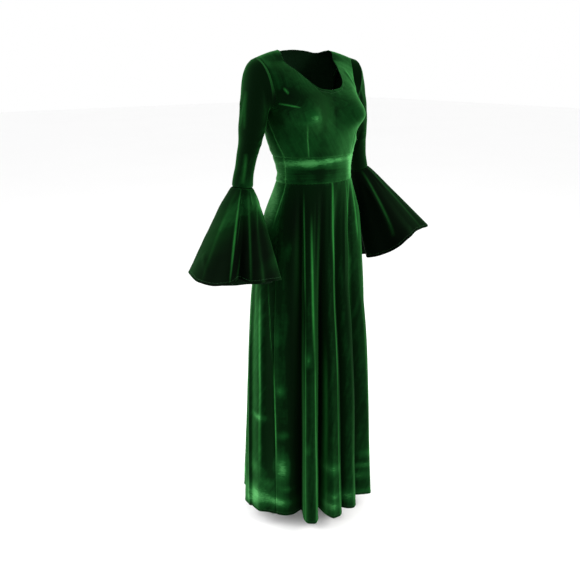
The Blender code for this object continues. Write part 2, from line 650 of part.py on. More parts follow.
def make_skirt():
    inside = (0, 0, -0.9)
    falls = even_steps(SKIRT_STEPS)[::-1] ** SKIRT_CROWDING
    heights = BAND_BOTTOM + (HEM_HEIGHT - BAND_BOTTOM) * falls
    right_seam = len(RIGHT_BACK_FOLDS)
    left_seam = right_seam + len(FRONT_FOLDS)
    round_back = right_seam + len(SKIRT_FOLDS)
    for name, start, end in (("skirt_front", right_seam, left_seam), ("skirt_back", left_seam, round_back)):
        columns = even_steps((end - start) * FOLD_STEPS, start, end)
        wall(name, skirt_surface, columns, heights, inside, seams="left right top")


def make_sleeves():
    angles = even_steps(2 * ARMHOLE_STEPS, 0, 2 * math.pi)[:-1]
    for name, mirror, rows in (("sleeve_right", -1, RIGHT_SLEEVE), ("sleeve_left", 1, LEFT_SLEEVE)):
        rings = even_steps(SLEEVE_STEPS, 0, len(rows))
        wall(name, sleeve_surface(mirror, rows), angles, rings, (mirror * 0.19, 0.01, -0.2), closed=True)


def make_bells():
    steps = even_steps(BELL_STEPS)
    sides = (
        ("bell_right", -1, RIGHT_SLEEVE[-1], RIGHT_BELL_FOLDS, RIGHT_BELL_POSE),
        ("bell_left", 1, LEFT_SLEEVE[-1], LEFT_BELL_FOLDS, LEFT_BELL_POSE),
    )
    for name, mirror, cuff, folds, pose in sides:
        columns = even_steps(len(folds) * BELL_FOLD_STEPS, 0, len(folds))[:-1]
        surface = bell_surface(mirror, cuff, folds, pose)
        wall(name, surface, columns, steps, (mirror * 0.27, -0.02, -0.5), closed=True)


def clear_scene():
    for existing in list(bpy.data.objects):
        bpy.data.objects.remove(existing, do_unlink=True)


def main():
    clear_scene()
    make_bodice()
    make_waistband()
    make_skirt()
    make_sleeves()
    make_bells()


main()
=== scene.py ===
"""Looks of a long velvet gown in a renaissance cut: cloth, sewing, finish, camera and plain studio.

Metres, +Z up, the front faces -Y and +X is the wearer's left. Each cut piece is one thin shell on
its solid's form. Its creases, seam grooves and turned hems are moved out of or into that form.
"""

import math
from collections import namedtuple

import bpy
import numpy as np
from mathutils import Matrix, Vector


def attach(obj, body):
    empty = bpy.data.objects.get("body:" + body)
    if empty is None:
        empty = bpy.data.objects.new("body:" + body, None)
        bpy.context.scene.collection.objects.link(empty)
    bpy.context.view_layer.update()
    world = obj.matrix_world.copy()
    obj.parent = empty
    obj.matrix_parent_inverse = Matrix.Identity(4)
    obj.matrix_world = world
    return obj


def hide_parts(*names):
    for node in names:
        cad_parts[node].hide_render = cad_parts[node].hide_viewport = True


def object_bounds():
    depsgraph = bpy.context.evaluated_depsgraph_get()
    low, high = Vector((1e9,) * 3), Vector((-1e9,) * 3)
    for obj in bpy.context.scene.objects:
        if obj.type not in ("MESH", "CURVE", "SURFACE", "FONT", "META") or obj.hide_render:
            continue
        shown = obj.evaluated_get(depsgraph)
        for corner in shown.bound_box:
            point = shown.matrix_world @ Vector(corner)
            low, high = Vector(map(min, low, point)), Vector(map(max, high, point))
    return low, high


bl_info = {
    "name": "Velvet Gown",
    "version": (1, 0, 0),
    "blender": (4, 5, 0),
    "location": "3D View > Sidebar > Gown",
    "description": "Builds a long velvet gown with bell sleeves in a plain studio",
    "category": "Object",
}

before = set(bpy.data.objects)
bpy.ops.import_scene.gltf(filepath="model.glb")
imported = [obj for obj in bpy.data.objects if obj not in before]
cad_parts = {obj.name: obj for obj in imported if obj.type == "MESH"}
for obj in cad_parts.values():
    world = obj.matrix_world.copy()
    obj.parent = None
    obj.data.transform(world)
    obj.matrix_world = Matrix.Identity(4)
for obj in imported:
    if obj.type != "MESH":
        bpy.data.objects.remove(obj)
cad_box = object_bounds()

# Driving dimensions
WALL = 0.002            # thickness of the velvet with its backing
SEAM_GAP = 0.0003       # clear space between two sewn pieces
ARMHOLE_OFF = 0.0005    # the sleeve's head stands this far out of the armhole
HEM_HEIGHT = -1.396     # the skirt's hem, below the shoulders
BAND_TOP = -0.279       # seam between bodice and waistband
BAND_BOTTOM = -0.350    # seam between waistband and skirt
SIDE_SEAM = math.radians(71.0)   # the lower side seams, from the front centre, seen from above

BUST_OUT = 0.047        # how far the bust darts throw the front out
BUST_APART = 0.085      # bust point from the centre line
BUST_HEIGHT = -0.164
BUST_WIDE = 0.048
BUST_ABOVE = 0.052
BUST_BELOW = 0.040
BUST_SPREAD = 0.2       # how much of the bust's throw goes sideways
BUST_EDGE_POWER = 4     # above 1 the bust dies away only near the side seam


def table(kind, *rows):
    """Rows of values under the names of their columns."""
    return [kind(*row) for row in rows]


# Waistband: height, half width, centre from front to back, half depth
BandRow = namedtuple("BandRow", "z half_width centre_y half_depth")
BAND_ROWS = table(
    BandRow,
    (BAND_BOTTOM, 0.1223, -0.0263, 0.0880),
    (-0.328, 0.1190, -0.0270, 0.0860),
    (-0.309, 0.1215, -0.0250, 0.0875),
    (-0.290, 0.1270, -0.0226, 0.0900),
    (BAND_TOP, 0.1302, -0.0215, 0.0922),
)

# Bodice: the right and left edge (side seam, then armhole), the centre line of the front and of the
# back, and how far each row turns round on its way to the edge
BodiceRow = namedtuple(
    "BodiceRow",
    "edge_z edge_x front_edge_y back_edge_y front_z front_y back_z back_y front_turn back_turn",
)
BODICE_ROWS = table(
    BodiceRow,
    (-0.279, 0.1253, -0.0465, -0.0465, -0.279, -0.1136, -0.279, 0.0709, 74.3, 105.7),
    (-0.265, 0.1304, -0.0420, -0.0420, -0.265, -0.1150, -0.265, 0.0755, 76, 104),
    (-0.242, 0.1389, -0.0340, -0.0340, -0.242, -0.1180, -0.242, 0.0840, 79, 101),
    (-0.222, 0.1425, -0.0240, -0.0240, -0.220, -0.1170, -0.222, 0.0900, 82, 98),
    (-0.190, 0.1455, -0.0060, -0.0060, -0.187, -0.1140, -0.190, 0.0970, 85, 93),
    (-0.158, 0.1475, 0.0100, 0.0100, -0.152, -0.1090, -0.158, 0.1030, 84, 84),
    (-0.140, 0.1462, -0.0300, 0.0480, -0.130, -0.1050, -0.134, 0.1050, 73, 74),
    (-0.118, 0.1460, -0.0390, 0.0660, -0.108, -0.0985, -0.108, 0.1055, 62, 62),
    (-0.083, 0.1475, -0.0280, 0.0680, -0.083, -0.0820, -0.072, 0.1030, 56, 58),
    (-0.053, 0.1520, -0.0170, 0.0580, -0.049, -0.0430, -0.038, 0.0930, 52, 55),
    (-0.030, 0.1590, -0.0020, 0.0400, -0.020, 0.0020, 0.004, 0.0660, 50, 52),
    (-0.0195, 0.1655, 0.0080, 0.0290, 0.001, 0.0090, 0.0085, 0.0360, 50, 51),
    (-0.016, 0.1680, 0.0180, 0.0180, 0.0104, 0.0200, 0.0104, 0.0200, 50, 50),
)
UNDERARM_ROW = 5
ARMHOLE_CURVE = (6, 7)  # rows that the armhole's lower curve passes
CUT_POWER = 3           # above 1 the cloth follows the armhole's cut only near it

# Neckline: half width of the opening at each height, from the shoulder down to the centre
NeckRow = namedtuple("NeckRow", "half_width z")
FRONT_NECK = table(
    NeckRow,
    (0.093, 0.0034),
    (0.090, -0.0250),
    (0.074, -0.0540),
    (0.058, -0.0790),
    (0.034, -0.0960),
    (0.000, -0.1015),
)
BACK_NECK = table(
    NeckRow,
    (0.093, 0.0034),
    (0.084, -0.0030),
    (0.068, -0.0030),
    (0.038, 0.0020),
    (0.000, 0.0040),
)

# Skirt as the crests of its folds enclose it
SkirtRow = namedtuple("SkirtRow", "z half_width centre_y front_depth back_depth")
SKIRT_ROWS = table(
    SkirtRow,
    (BAND_BOTTOM, 0.1223, -0.0263, 0.0880, 0.0880),
    (-0.365, 0.1265, -0.0250, 0.0900, 0.0900),
    (-0.393, 0.1375, -0.0230, 0.0935, 0.0950),
    (-0.416, 0.1470, -0.0210, 0.0960, 0.0985),
    (-0.440, 0.1570, -0.0190, 0.0990, 0.1010),
    (-0.489, 0.1700, -0.0140, 0.1060, 0.1030),
    (-0.571, 0.1790, -0.0100, 0.1160, 0.1220),
    (-0.690, 0.1910, -0.0050, 0.1280, 0.1480),
    (-0.813, 0.1970, -0.0020, 0.1450, 0.1620),
    (-1.003, 0.2030, 0.0000, 0.1650, 0.1780),
    (-1.205, 0.2090, 0.0000, 0.1770, 0.1900),
    (HEM_HEIGHT, 0.2130, 0.0000, 0.1920, 0.2000),
)

# Skirt folds, round from the back by the wearer's right and the front: angle from the front centre
# at the band and at the hem, and how far the cloth stands out from the row above at three heights
FoldRow = namedtuple("FoldRow", "band_deg hem_deg hip_out knee_out hem_out")
HIP, KNEE = -0.489, -0.813
RIGHT_BACK_FOLDS = table(
    FoldRow,
    (-180, -180, -0.004, -0.030, -0.062),
    (-168, -168, 0.000, -0.004, 0.004),
    (-160, -160, 0.000, -0.003, 0.006),
    (-150, -150, -0.004, -0.028, -0.056),
    (-141, -141, 0.000, -0.004, 0.002),
    (-134, -134, 0.000, -0.002, 0.004),
    (-121, -121, -0.003, -0.020, -0.042),
    (-108, -108, 0.000, -0.002, 0.002),
    (-103, -103, 0.000, -0.002, 0.000),
    (-97, -97, -0.002, -0.005, -0.008),
    (-88, -88, 0.000, -0.002, -0.008),
    (-79, -79, -0.001, -0.008, -0.025),
)
FRONT_FOLDS = table(
    FoldRow,
    (-71, -71, 0.000, -0.004, -0.030),
    (-62, -62, -0.001, -0.008, -0.034),
    (-55, -55, -0.003, -0.012, -0.044),
    (-51, -46, -0.016, -0.030, -0.072),
    (-47, -41, -0.006, -0.008, -0.016),
    (-41, -37, -0.002, -0.001, 0.001),
    (-34, -32, -0.002, -0.002, 0.005),
    (-28, -28, -0.004, -0.012, -0.008),
    (-21, -22, -0.012, -0.036, -0.078),
    (-14, -17, -0.004, -0.010, -0.026),
    (-9, -12, -0.002, 0.000, 0.001),
    (-4, -6, -0.001, 0.001, 0.001),
    (-1, -1, -0.002, -0.002, -0.008),
    (8, 4, -0.011, -0.024, -0.036),
    (17, 9, -0.004, -0.004, -0.012),
    (26, 14, -0.001, 0.003, 0.000),
    (33, 19, -0.002, 0.000, -0.004),
    (39, 28, -0.014, -0.036, -0.076),
    (43, 37, -0.004, -0.001, -0.014),
    (48, 42, 0.002, 0.012, 0.018),
    (54, 47, 0.005, 0.013, 0.015),
    (62, 59, 0.003, -0.004, -0.046),
)
LEFT_BACK_FOLDS = table(
    FoldRow,
    (71, 71, 0.004, 0.006, 0.002),
    (79, 79, 0.000, 0.002, 0.002),
    (91, 91, -0.003, -0.012, -0.040),
    (101, 101, 0.000, 0.000, 0.000),
    (108, 108, 0.000, 0.000, 0.004),
    (121, 121, -0.003, -0.024, -0.052),
    (132, 132, 0.000, -0.003, 0.003),
    (140, 140, 0.000, -0.003, 0.004),
    (151, 151, -0.004, -0.030, -0.060),
    (161, 161, 0.000, -0.004, 0.004),
    (169, 169, 0.000, -0.003, 0.002),
)
SKIRT_FOLDS = RIGHT_BACK_FOLDS + FRONT_FOLDS + LEFT_BACK_FOLDS

# Sleeve, as the wearer's left one: each ring's outer and inner point, its middle from front to back
# and its half depth. The first ring is the armhole.
SleeveRow = namedtuple("SleeveRow", "outer_x outer_z inner_x inner_z middle_y half_depth")
UPPER_SLEEVE = table(
    SleeveRow,
    (0.1790, -0.0205, 0.1486, -0.1640, 0.014, 0.0550),
    (0.1895, -0.0290, 0.1494, -0.1710, 0.015, 0.0510),
    (0.1985, -0.0430, 0.1503, -0.1780, 0.015, 0.0475),
    (0.2070, -0.0680, 0.1513, -0.1870, 0.014, 0.0445),
    (0.2145, -0.1060, 0.1528, -0.1970, 0.012, 0.0420),
    (0.2220, -0.1500, 0.1560, -0.2090, 0.010, 0.0395),
    (0.2275, -0.1940, 0.1615, -0.2230, 0.010, 0.0360),
    (0.2295, -0.2350, 0.1655, -0.2390, 0.012, 0.0330),
)
RIGHT_SLEEVE = UPPER_SLEEVE + table(
    SleeveRow,
    (0.2335, -0.2670, 0.1745, -0.2660, 0.015, 0.0297),
    (0.2385, -0.2970, 0.1825, -0.2960, 0.017, 0.0284),
    (0.2455, -0.3280, 0.1890, -0.3300, 0.019, 0.0288),
    (0.2495, -0.3530, 0.1905, -0.3590, 0.020, 0.0297),
)
LEFT_SLEEVE = UPPER_SLEEVE + table(
    SleeveRow,
    (0.2330, -0.2640, 0.1740, -0.2680, 0.015, 0.0295),
    (0.2370, -0.2920, 0.1820, -0.2980, 0.017, 0.0277),
    (0.2435, -0.3170, 0.1880, -0.3260, 0.019, 0.0284),
    (0.2492, -0.3360, 0.1913, -0.3490, 0.020, 0.0297),
)

# Bells, as on the wearer's left: the hem's centre, the way the hem's open face looks, and how early
# the flounce opens (below 1 is early)
BellPose = namedtuple("BellPose", "hem_centre lean spread")
RIGHT_BELL_POSE = BellPose((0.3080, -0.0600, -0.5820), (0.32, -0.20, -1.0), 0.86)
LEFT_BELL_POSE = BellPose((0.3020, -0.0560, -0.5680), (0.40, -0.16, -1.0), 0.80)
BELL_TOP = 0.0298        # radius at the sleeve's end
FOLD_START = 1.3         # above 1 the bell's folds deepen towards the hem

# Bell folds: angle from the outer side towards the front, the hem's radius there, and how far the
# hem hangs below its level
BellFold = namedtuple("BellFold", "deg hem_radius drop")
RIGHT_BELL_FOLDS = table(
    BellFold,
    (-40, 0.125, 0.000),
    (-15, 0.121, 0.010),
    (10, 0.125, 0.026),
    (32, 0.127, 0.032),
    (49, 0.134, 0.026),
    (55, 0.129, 0.021),
    (65, 0.086, 0.006),
    (79, 0.116, 0.014),
    (92, 0.121, 0.009),
    (106, 0.111, 0.004),
    (122, 0.122, -0.003),
    (140, 0.128, -0.009),
    (158, 0.106, -0.006),
    (178, 0.122, 0.000),
    (196, 0.124, 0.006),
    (216, 0.104, 0.012),
    (238, 0.122, 0.020),
    (256, 0.124, 0.024),
    (280, 0.106, 0.018),
    (302, 0.122, 0.008),
)
LEFT_BELL_FOLDS = table(
    BellFold,
    (-38, 0.119, 0.002),
    (-12, 0.102, 0.004),
    (10, 0.114, 0.002),
    (30, 0.121, 0.000),
    (46, 0.123, 0.000),
    (64, 0.109, -0.012),
    (84, 0.105, -0.021),
    (104, 0.115, -0.022),
    (122, 0.118, -0.014),
    (144, 0.108, -0.002),
    (164, 0.115, 0.000),
    (180, 0.117, 0.002),
    (200, 0.098, 0.006),
    (222, 0.115, 0.010),
    (240, 0.117, 0.012),
    (262, 0.098, 0.010),
    (286, 0.115, 0.006),
    (304, 0.118, 0.004),
)

# ---------------------------------------------------------------- creases placed one by one

# A ridge (height above 0) or trough (below 0) along a curve through three points
Crease = namedtuple("Crease", "start middle end width height")
BODICE_FRONT_CREASES = table(
    Crease,
    ((-0.143, -0.045, -0.135), (-0.133, -0.074, -0.138), (-0.120, -0.100, -0.140), 0.0030, -0.0020),
    ((0.143, -0.045, -0.136), (0.133, -0.074, -0.139), (0.121, -0.100, -0.141), 0.0030, -0.0020),
    ((-0.103, -0.116, -0.183), (-0.086, -0.102, -0.236), (-0.078, -0.096, -0.289), 0.0030, -0.0018),
    ((0.103, -0.116, -0.183), (0.086, -0.102, -0.236), (0.078, -0.096, -0.289), 0.0030, -0.0018),
    ((-0.130, -0.050, -0.094), (-0.126, -0.057, -0.102), (-0.122, -0.063, -0.110), 0.0045, 0.0030),
    ((-0.146, -0.040, -0.112), (-0.138, -0.052, -0.118), (-0.126, -0.068, -0.122), 0.0050, 0.0022),
    ((-0.147, -0.026, -0.150), (-0.140, -0.050, -0.158), (-0.128, -0.078, -0.164), 0.0070, 0.0020),
    ((-0.144, -0.012, -0.186), (-0.134, -0.050, -0.196), (-0.112, -0.084, -0.204), 0.0080, 0.0015),
    ((-0.133, -0.045, -0.262), (-0.112, -0.082, -0.268), (-0.080, -0.098, -0.266), 0.0060, 0.0014),
    ((-0.070, -0.104, -0.276), (-0.040, -0.112, -0.280), (-0.005, -0.114, -0.277), 0.0060, 0.0010),
    ((0.107, -0.024, -0.044), (0.108, -0.053, -0.075), (0.128, -0.050, -0.110), 0.0060, 0.0026),
    ((0.134, -0.030, -0.062), (0.132, -0.048, -0.088), (0.139, -0.044, -0.112), 0.0050, 0.0018),
    ((0.147, -0.030, -0.152), (0.138, -0.056, -0.158), (0.124, -0.082, -0.160), 0.0070, 0.0020),
    ((0.140, -0.036, -0.226), (0.122, -0.070, -0.240), (0.092, -0.098, -0.246), 0.0090, 0.0016),
    ((0.126, -0.056, -0.272), (0.100, -0.090, -0.278), (0.060, -0.106, -0.276), 0.0060, 0.0014),
    ((-0.060, -0.070, -0.082), (-0.030, -0.090, -0.112), (0.020, -0.096, -0.118), 0.0120, -0.0010),
)
BODICE_BACK_CREASES = table(
    Crease,
    ((-0.145, 0.060, -0.120), (-0.120, 0.090, -0.132), (-0.080, 0.104, -0.136), 0.0090, 0.0026),
    ((-0.146, 0.040, -0.160), (-0.118, 0.085, -0.178), (-0.070, 0.098, -0.190), 0.0080, 0.0020),
    ((0.145, 0.060, -0.114), (0.122, 0.090, -0.130), (0.084, 0.104, -0.140), 0.0080, 0.0024),
    ((0.146, 0.035, -0.166), (0.116, 0.084, -0.190), (0.060, 0.096, -0.200), 0.0090, 0.0022),
    ((-0.128, -0.010, -0.256), (-0.090, 0.050, -0.264), (-0.040, 0.074, -0.262), 0.0060, 0.0020),
    ((0.128, -0.010, -0.250), (0.100, 0.044, -0.262), (0.052, 0.074, -0.268), 0.0060, 0.0018),
    ((-0.050, 0.072, -0.278), (-0.010, 0.076, -0.272), (0.036, 0.075, -0.276), 0.0050, 0.0014),
    ((-0.150, 0.050, -0.060), (-0.120, 0.080, -0.064), (-0.086, 0.094, -0.070), 0.0100, 0.0016),
)
RIGHT_SLEEVE_CREASES = table(
    Crease,
    ((-0.212, 0.003, -0.099), (-0.221, 0.003, -0.150), (-0.227, 0.006, -0.196), 0.0060, 0.0026),
    ((-0.214, 0.028, -0.125), (-0.218, 0.024, -0.138), (-0.221, 0.019, -0.151), 0.0050, 0.0020),
    ((-0.158, -0.027, -0.140), (-0.166, -0.023, -0.169), (-0.177, -0.025, -0.197), 0.0050, 0.0030),
    ((-0.212, -0.013, -0.270), (-0.220, -0.009, -0.288), (-0.227, -0.004, -0.304), 0.0045, 0.0022),
    ((-0.184, -0.036, -0.080), (-0.176, -0.036, -0.112), (-0.172, -0.031, -0.150), 0.0070, -0.0018),
    ((-0.170, -0.020, -0.205), (-0.182, -0.021, -0.222), (-0.198, -0.020, -0.232), 0.0060, 0.0028),
    ((-0.172, -0.010, -0.238), (-0.188, -0.016, -0.246), (-0.208, -0.016, -0.246), 0.0055, 0.0024),
    ((-0.180, -0.004, -0.262), (-0.196, -0.013, -0.262), (-0.214, -0.010, -0.252), 0.0050, 0.0016),
    ((-0.176, 0.040, -0.228), (-0.196, 0.044, -0.240), (-0.216, 0.036, -0.236), 0.0070, 0.0024),
    ((-0.160, 0.046, -0.180), (-0.184, 0.050, -0.196), (-0.212, 0.040, -0.190), 0.0080, 0.0022),
    ((-0.182, 0.034, -0.292), (-0.202, 0.044, -0.300), (-0.226, 0.034, -0.296), 0.0060, 0.0018),
    ((-0.194, 0.060, -0.070), (-0.198, 0.058, -0.110), (-0.192, 0.052, -0.150), 0.0090, 0.0022),
    ((-0.230, 0.010, -0.330), (-0.234, 0.006, -0.345), (-0.238, 0.008, -0.360), 0.0050, 0.0014),
)
LEFT_SLEEVE_CREASES = table(
    Crease,
    ((0.163, -0.038, -0.101), (0.174, -0.035, -0.118), (0.185, -0.030, -0.136), 0.0055, 0.0030),
    ((0.185, -0.024, -0.214), (0.184, -0.014, -0.250), (0.183, 0.001, -0.284), 0.0060, -0.0028),
    ((0.212, 0.000, -0.105), (0.220, 0.002, -0.150), (0.226, 0.008, -0.190), 0.0065, 0.0024),
    ((0.170, -0.024, -0.160), (0.182, -0.026, -0.180), (0.192, -0.024, -0.204), 0.0060, 0.0026),
    ((0.168, -0.014, -0.214), (0.188, -0.020, -0.226), (0.210, -0.016, -0.224), 0.0060, 0.0026),
    ((0.172, -0.004, -0.244), (0.192, -0.014, -0.250), (0.216, -0.012, -0.242), 0.0050, 0.0020),
    ((0.176, 0.042, -0.214), (0.196, 0.046, -0.230), (0.218, 0.036, -0.226), 0.0075, 0.0024),
    ((0.162, 0.046, -0.170), (0.186, 0.050, -0.190), (0.214, 0.040, -0.188), 0.0080, 0.0020),
    ((0.190, 0.034, -0.282), (0.208, 0.044, -0.288), (0.230, 0.032, -0.280), 0.0060, 0.0018),
    ((0.194, 0.060, -0.064), (0.199, 0.058, -0.104), (0.194, 0.052, -0.146), 0.0090, 0.0020),
)
RIGHT_BELL_CREASES = table(
    Crease,
    ((-0.209, -0.018, -0.386), (-0.243, -0.066, -0.435), (-0.274, -0.110, -0.484), 0.0060, 0.0022),
    ((-0.307, -0.111, -0.501), (-0.318, -0.130, -0.523), (-0.327, -0.148, -0.543), 0.0060, 0.0022),
    ((-0.381, -0.034, -0.510), (-0.396, -0.060, -0.526), (-0.410, -0.086, -0.542), 0.0070, 0.0022),
    ((-0.248, 0.020, -0.390), (-0.290, 0.030, -0.450), (-0.330, 0.036, -0.520), 0.0080, 0.0024),
    ((-0.222, 0.044, -0.400), (-0.238, 0.066, -0.460), (-0.250, 0.080, -0.520), 0.0080, 0.0024),
)
LEFT_BELL_CREASES = table(
    Crease,
    ((0.211, -0.012, -0.352), (0.215, -0.065, -0.432), (0.224, -0.111, -0.507), 0.0070, 0.0026),
    ((0.293, -0.143, -0.511), (0.272, -0.146, -0.524), (0.245, -0.147, -0.535), 0.0080, 0.0018),
    ((0.246, 0.020, -0.372), (0.290, 0.032, -0.440), (0.330, 0.040, -0.510), 0.0080, 0.0024),
    ((0.222, 0.044, -0.384), (0.236, 0.066, -0.450), (0.248, 0.078, -0.520), 0.0080, 0.0024),
)

# Painted highlight lines, with one painted shade line on the right bell, as creases with a strength for their
# height
BODICE_PAINTED_GLEAMS = table(
    Crease,
    ((-0.144, -0.044, -0.1350), (-0.133, -0.074, -0.1375), (-0.118, -0.104, -0.1400), 0.0016, 0.75),
    ((-0.130, -0.050, -0.094), (-0.126, -0.057, -0.102), (-0.122, -0.063, -0.110), 0.0020, 0.60),
    ((-0.101, -0.116, -0.186), (-0.086, -0.102, -0.236), (-0.077, -0.096, -0.281), 0.0015, 0.55),
    ((0.144, -0.044, -0.1360), (0.133, -0.074, -0.1385), (0.119, -0.104, -0.1410), 0.0016, 0.60),
    ((0.101, -0.116, -0.186), (0.086, -0.102, -0.236), (0.077, -0.096, -0.281), 0.0015, 0.55),
    ((0.104, -0.030, -0.040), (0.110, -0.048, -0.078), (0.126, -0.052, -0.112), 0.0022, 0.32),
    ((0.133, -0.030, -0.170), (0.128, -0.052, -0.225), (0.122, -0.058, -0.278), 0.0040, 0.30),
)
RIGHT_BELL_PAINTED_GLEAMS = table(
    Crease,
    ((-0.2395, -0.0025, -0.357), (-0.319, -0.083, -0.468), (-0.390, -0.161, -0.558), 0.0016, 0.50),
    ((-0.2335, -0.0055, -0.357), (-0.306, -0.089, -0.468), (-0.372, -0.166, -0.560), 0.0060, -0.45),
    ((-0.222, -0.009, -0.357), (-0.285, -0.105, -0.468), (-0.333, -0.173, -0.567), 0.0030, 0.14),
    ((-0.245, 0.004, -0.357), (-0.335, -0.040, -0.468), (-0.428, -0.090, -0.564), 0.0040, 0.07),
)
LEFT_BELL_PAINTED_GLEAMS = table(
    Crease,
    ((0.232, -0.006, -0.350), (0.290, -0.070, -0.450), (0.340, -0.130, -0.545), 0.0040, 0.12),
    ((0.210, -0.004, -0.352), (0.226, -0.072, -0.440), (0.244, -0.124, -0.540), 0.0030, 0.22),
)
SLEEVE_PAINTED_GLEAMS = table(
    Crease,
    ((-0.224, -0.006, -0.262), (-0.228, -0.006, -0.300), (-0.236, -0.004, -0.346), 0.0040, 0.25),
    ((-0.214, 0.002, -0.100), (-0.222, 0.000, -0.150), (-0.227, -0.002, -0.200), 0.0050, 0.18),
    ((0.214, 0.002, -0.100), (0.222, 0.000, -0.150), (0.227, -0.002, -0.200), 0.0050, 0.18),
)

# A ridge or trough that falls down the skirt, between two angles from the front centre
Fall = namedtuple("Fall", "top_deg top_z low_deg low_z width height")
SKIRT_FALLS = table(
    Fall,
    (-102, -0.700, -99.6, HEM_HEIGHT, 0.0055, 0.0050),
    (-82.3, -0.640, -85.8, -1.300, 0.0055, 0.0045),
    (-66, -0.520, -66, -1.250, 0.0080, 0.0022),
    (-57, -0.380, -57, -0.900, 0.0070, 0.0020),
    (-38, -0.372, -36, -0.700, 0.0050, 0.0016),
    (-29, -0.372, -30, -0.620, 0.0045, -0.0016),
    (-7, -0.372, -8, -0.560, 0.0045, 0.0014),
    (3, -0.372, 3, -0.640, 0.0045, -0.0016),
    (22, -0.372, 15, -0.700, 0.0045, 0.0016),
    (30, -0.372, 26, -0.560, 0.0045, -0.0014),
    (56, -0.372, 57, -0.640, 0.0050, 0.0018),
    (87, -0.560, 85, HEM_HEIGHT, 0.0070, 0.0040),
    (97, -0.480, 98, -1.150, 0.0060, 0.0026),
    (114, -0.374, 113, -0.900, 0.0060, 0.0022),
    (127, -0.374, 127, -0.720, 0.0060, -0.0020),
    (146, -0.374, 146, -0.800, 0.0060, 0.0024),
    (158, -0.374, 157, -0.640, 0.0050, -0.0018),
    (175, -0.374, 176, -0.860, 0.0060, 0.0024),
    (194, -0.374, 193, -0.700, 0.0060, 0.0020),
    (206, -0.374, 206, -0.600, 0.0050, -0.0018),
    (222, -0.374, 222, -0.820, 0.0060, 0.0024),
    (236, -0.374, 237, -0.660, 0.0060, 0.0018),
    (247, -0.374, 248, -0.900, 0.0070, 0.0022),
)

# Painted highlight lines along the edges of the skirt's folds, with a strength for their height
SKIRT_PAINTED_GLEAMS = table(
    Fall,
    (-45.5, -0.352, -41.5, -0.740, 0.0019, 0.40),
    (-41.7, -0.660, -39.9, HEM_HEIGHT, 0.0017, 0.30),
    (-35.8, -0.420, -31.4, -0.880, 0.0033, 0.60),
    (-31.6, -0.760, -29.0, HEM_HEIGHT, 0.0019, 0.40),
    (-3.2, -0.300, -2.1, -0.640, 0.0033, 0.70),
    (-2.6, -0.500, -5.0, -1.060, 0.0022, 0.45),
    (-5.2, -0.920, -4.6, HEM_HEIGHT, 0.0019, 0.32),
    (24.0, -0.320, 38.0, -0.620, 0.0022, 0.50),
    (38.0, -0.480, 32.0, -1.050, 0.0022, 0.30),
    (45.0, -0.320, 47.5, -0.560, 0.0033, 0.50),
    (-16.6, -0.780, -17.2, HEM_HEIGHT, 0.0033, 0.25),
    (-87.1, -0.600, -84.8, -1.040, 0.0033, 0.60),
    (-84.8, -0.880, -86.0, -1.320, 0.0033, 0.35),
    (-93.0, -0.560, -95.0, -0.860, 0.0017, 0.35),
    (-79.0, -0.600, -72.3, -0.880, 0.0014, 0.25),
    (-71.6, -0.840, -69.3, -1.260, 0.0017, 0.60),
    (-68.0, -0.330, -77.0, -0.480, 0.0017, 0.55),
    (97.0, -0.360, 98.0, -1.100, 0.0028, 0.40),
    (114.0, -0.340, 113.0, -0.900, 0.0028, 0.50),
    (130.0, -0.560, 130.0, HEM_HEIGHT, 0.0022, 0.35),
    (146.0, -0.340, 146.0, -0.860, 0.0033, 0.60),
    (158.0, -0.700, 157.0, HEM_HEIGHT, 0.0022, 0.30),
    (175.0, -0.340, 176.0, -0.900, 0.0033, 0.50),
    (194.0, -0.340, 193.0, -1.000, 0.0028, 0.45),
    (206.0, -0.760, 206.0, HEM_HEIGHT, 0.0022, 0.35),
    (222.0, -0.340, 222.0, -0.840, 0.0033, 0.60),
    (236.0, -0.600, 237.0, HEM_HEIGHT, 0.0022, 0.30),
)
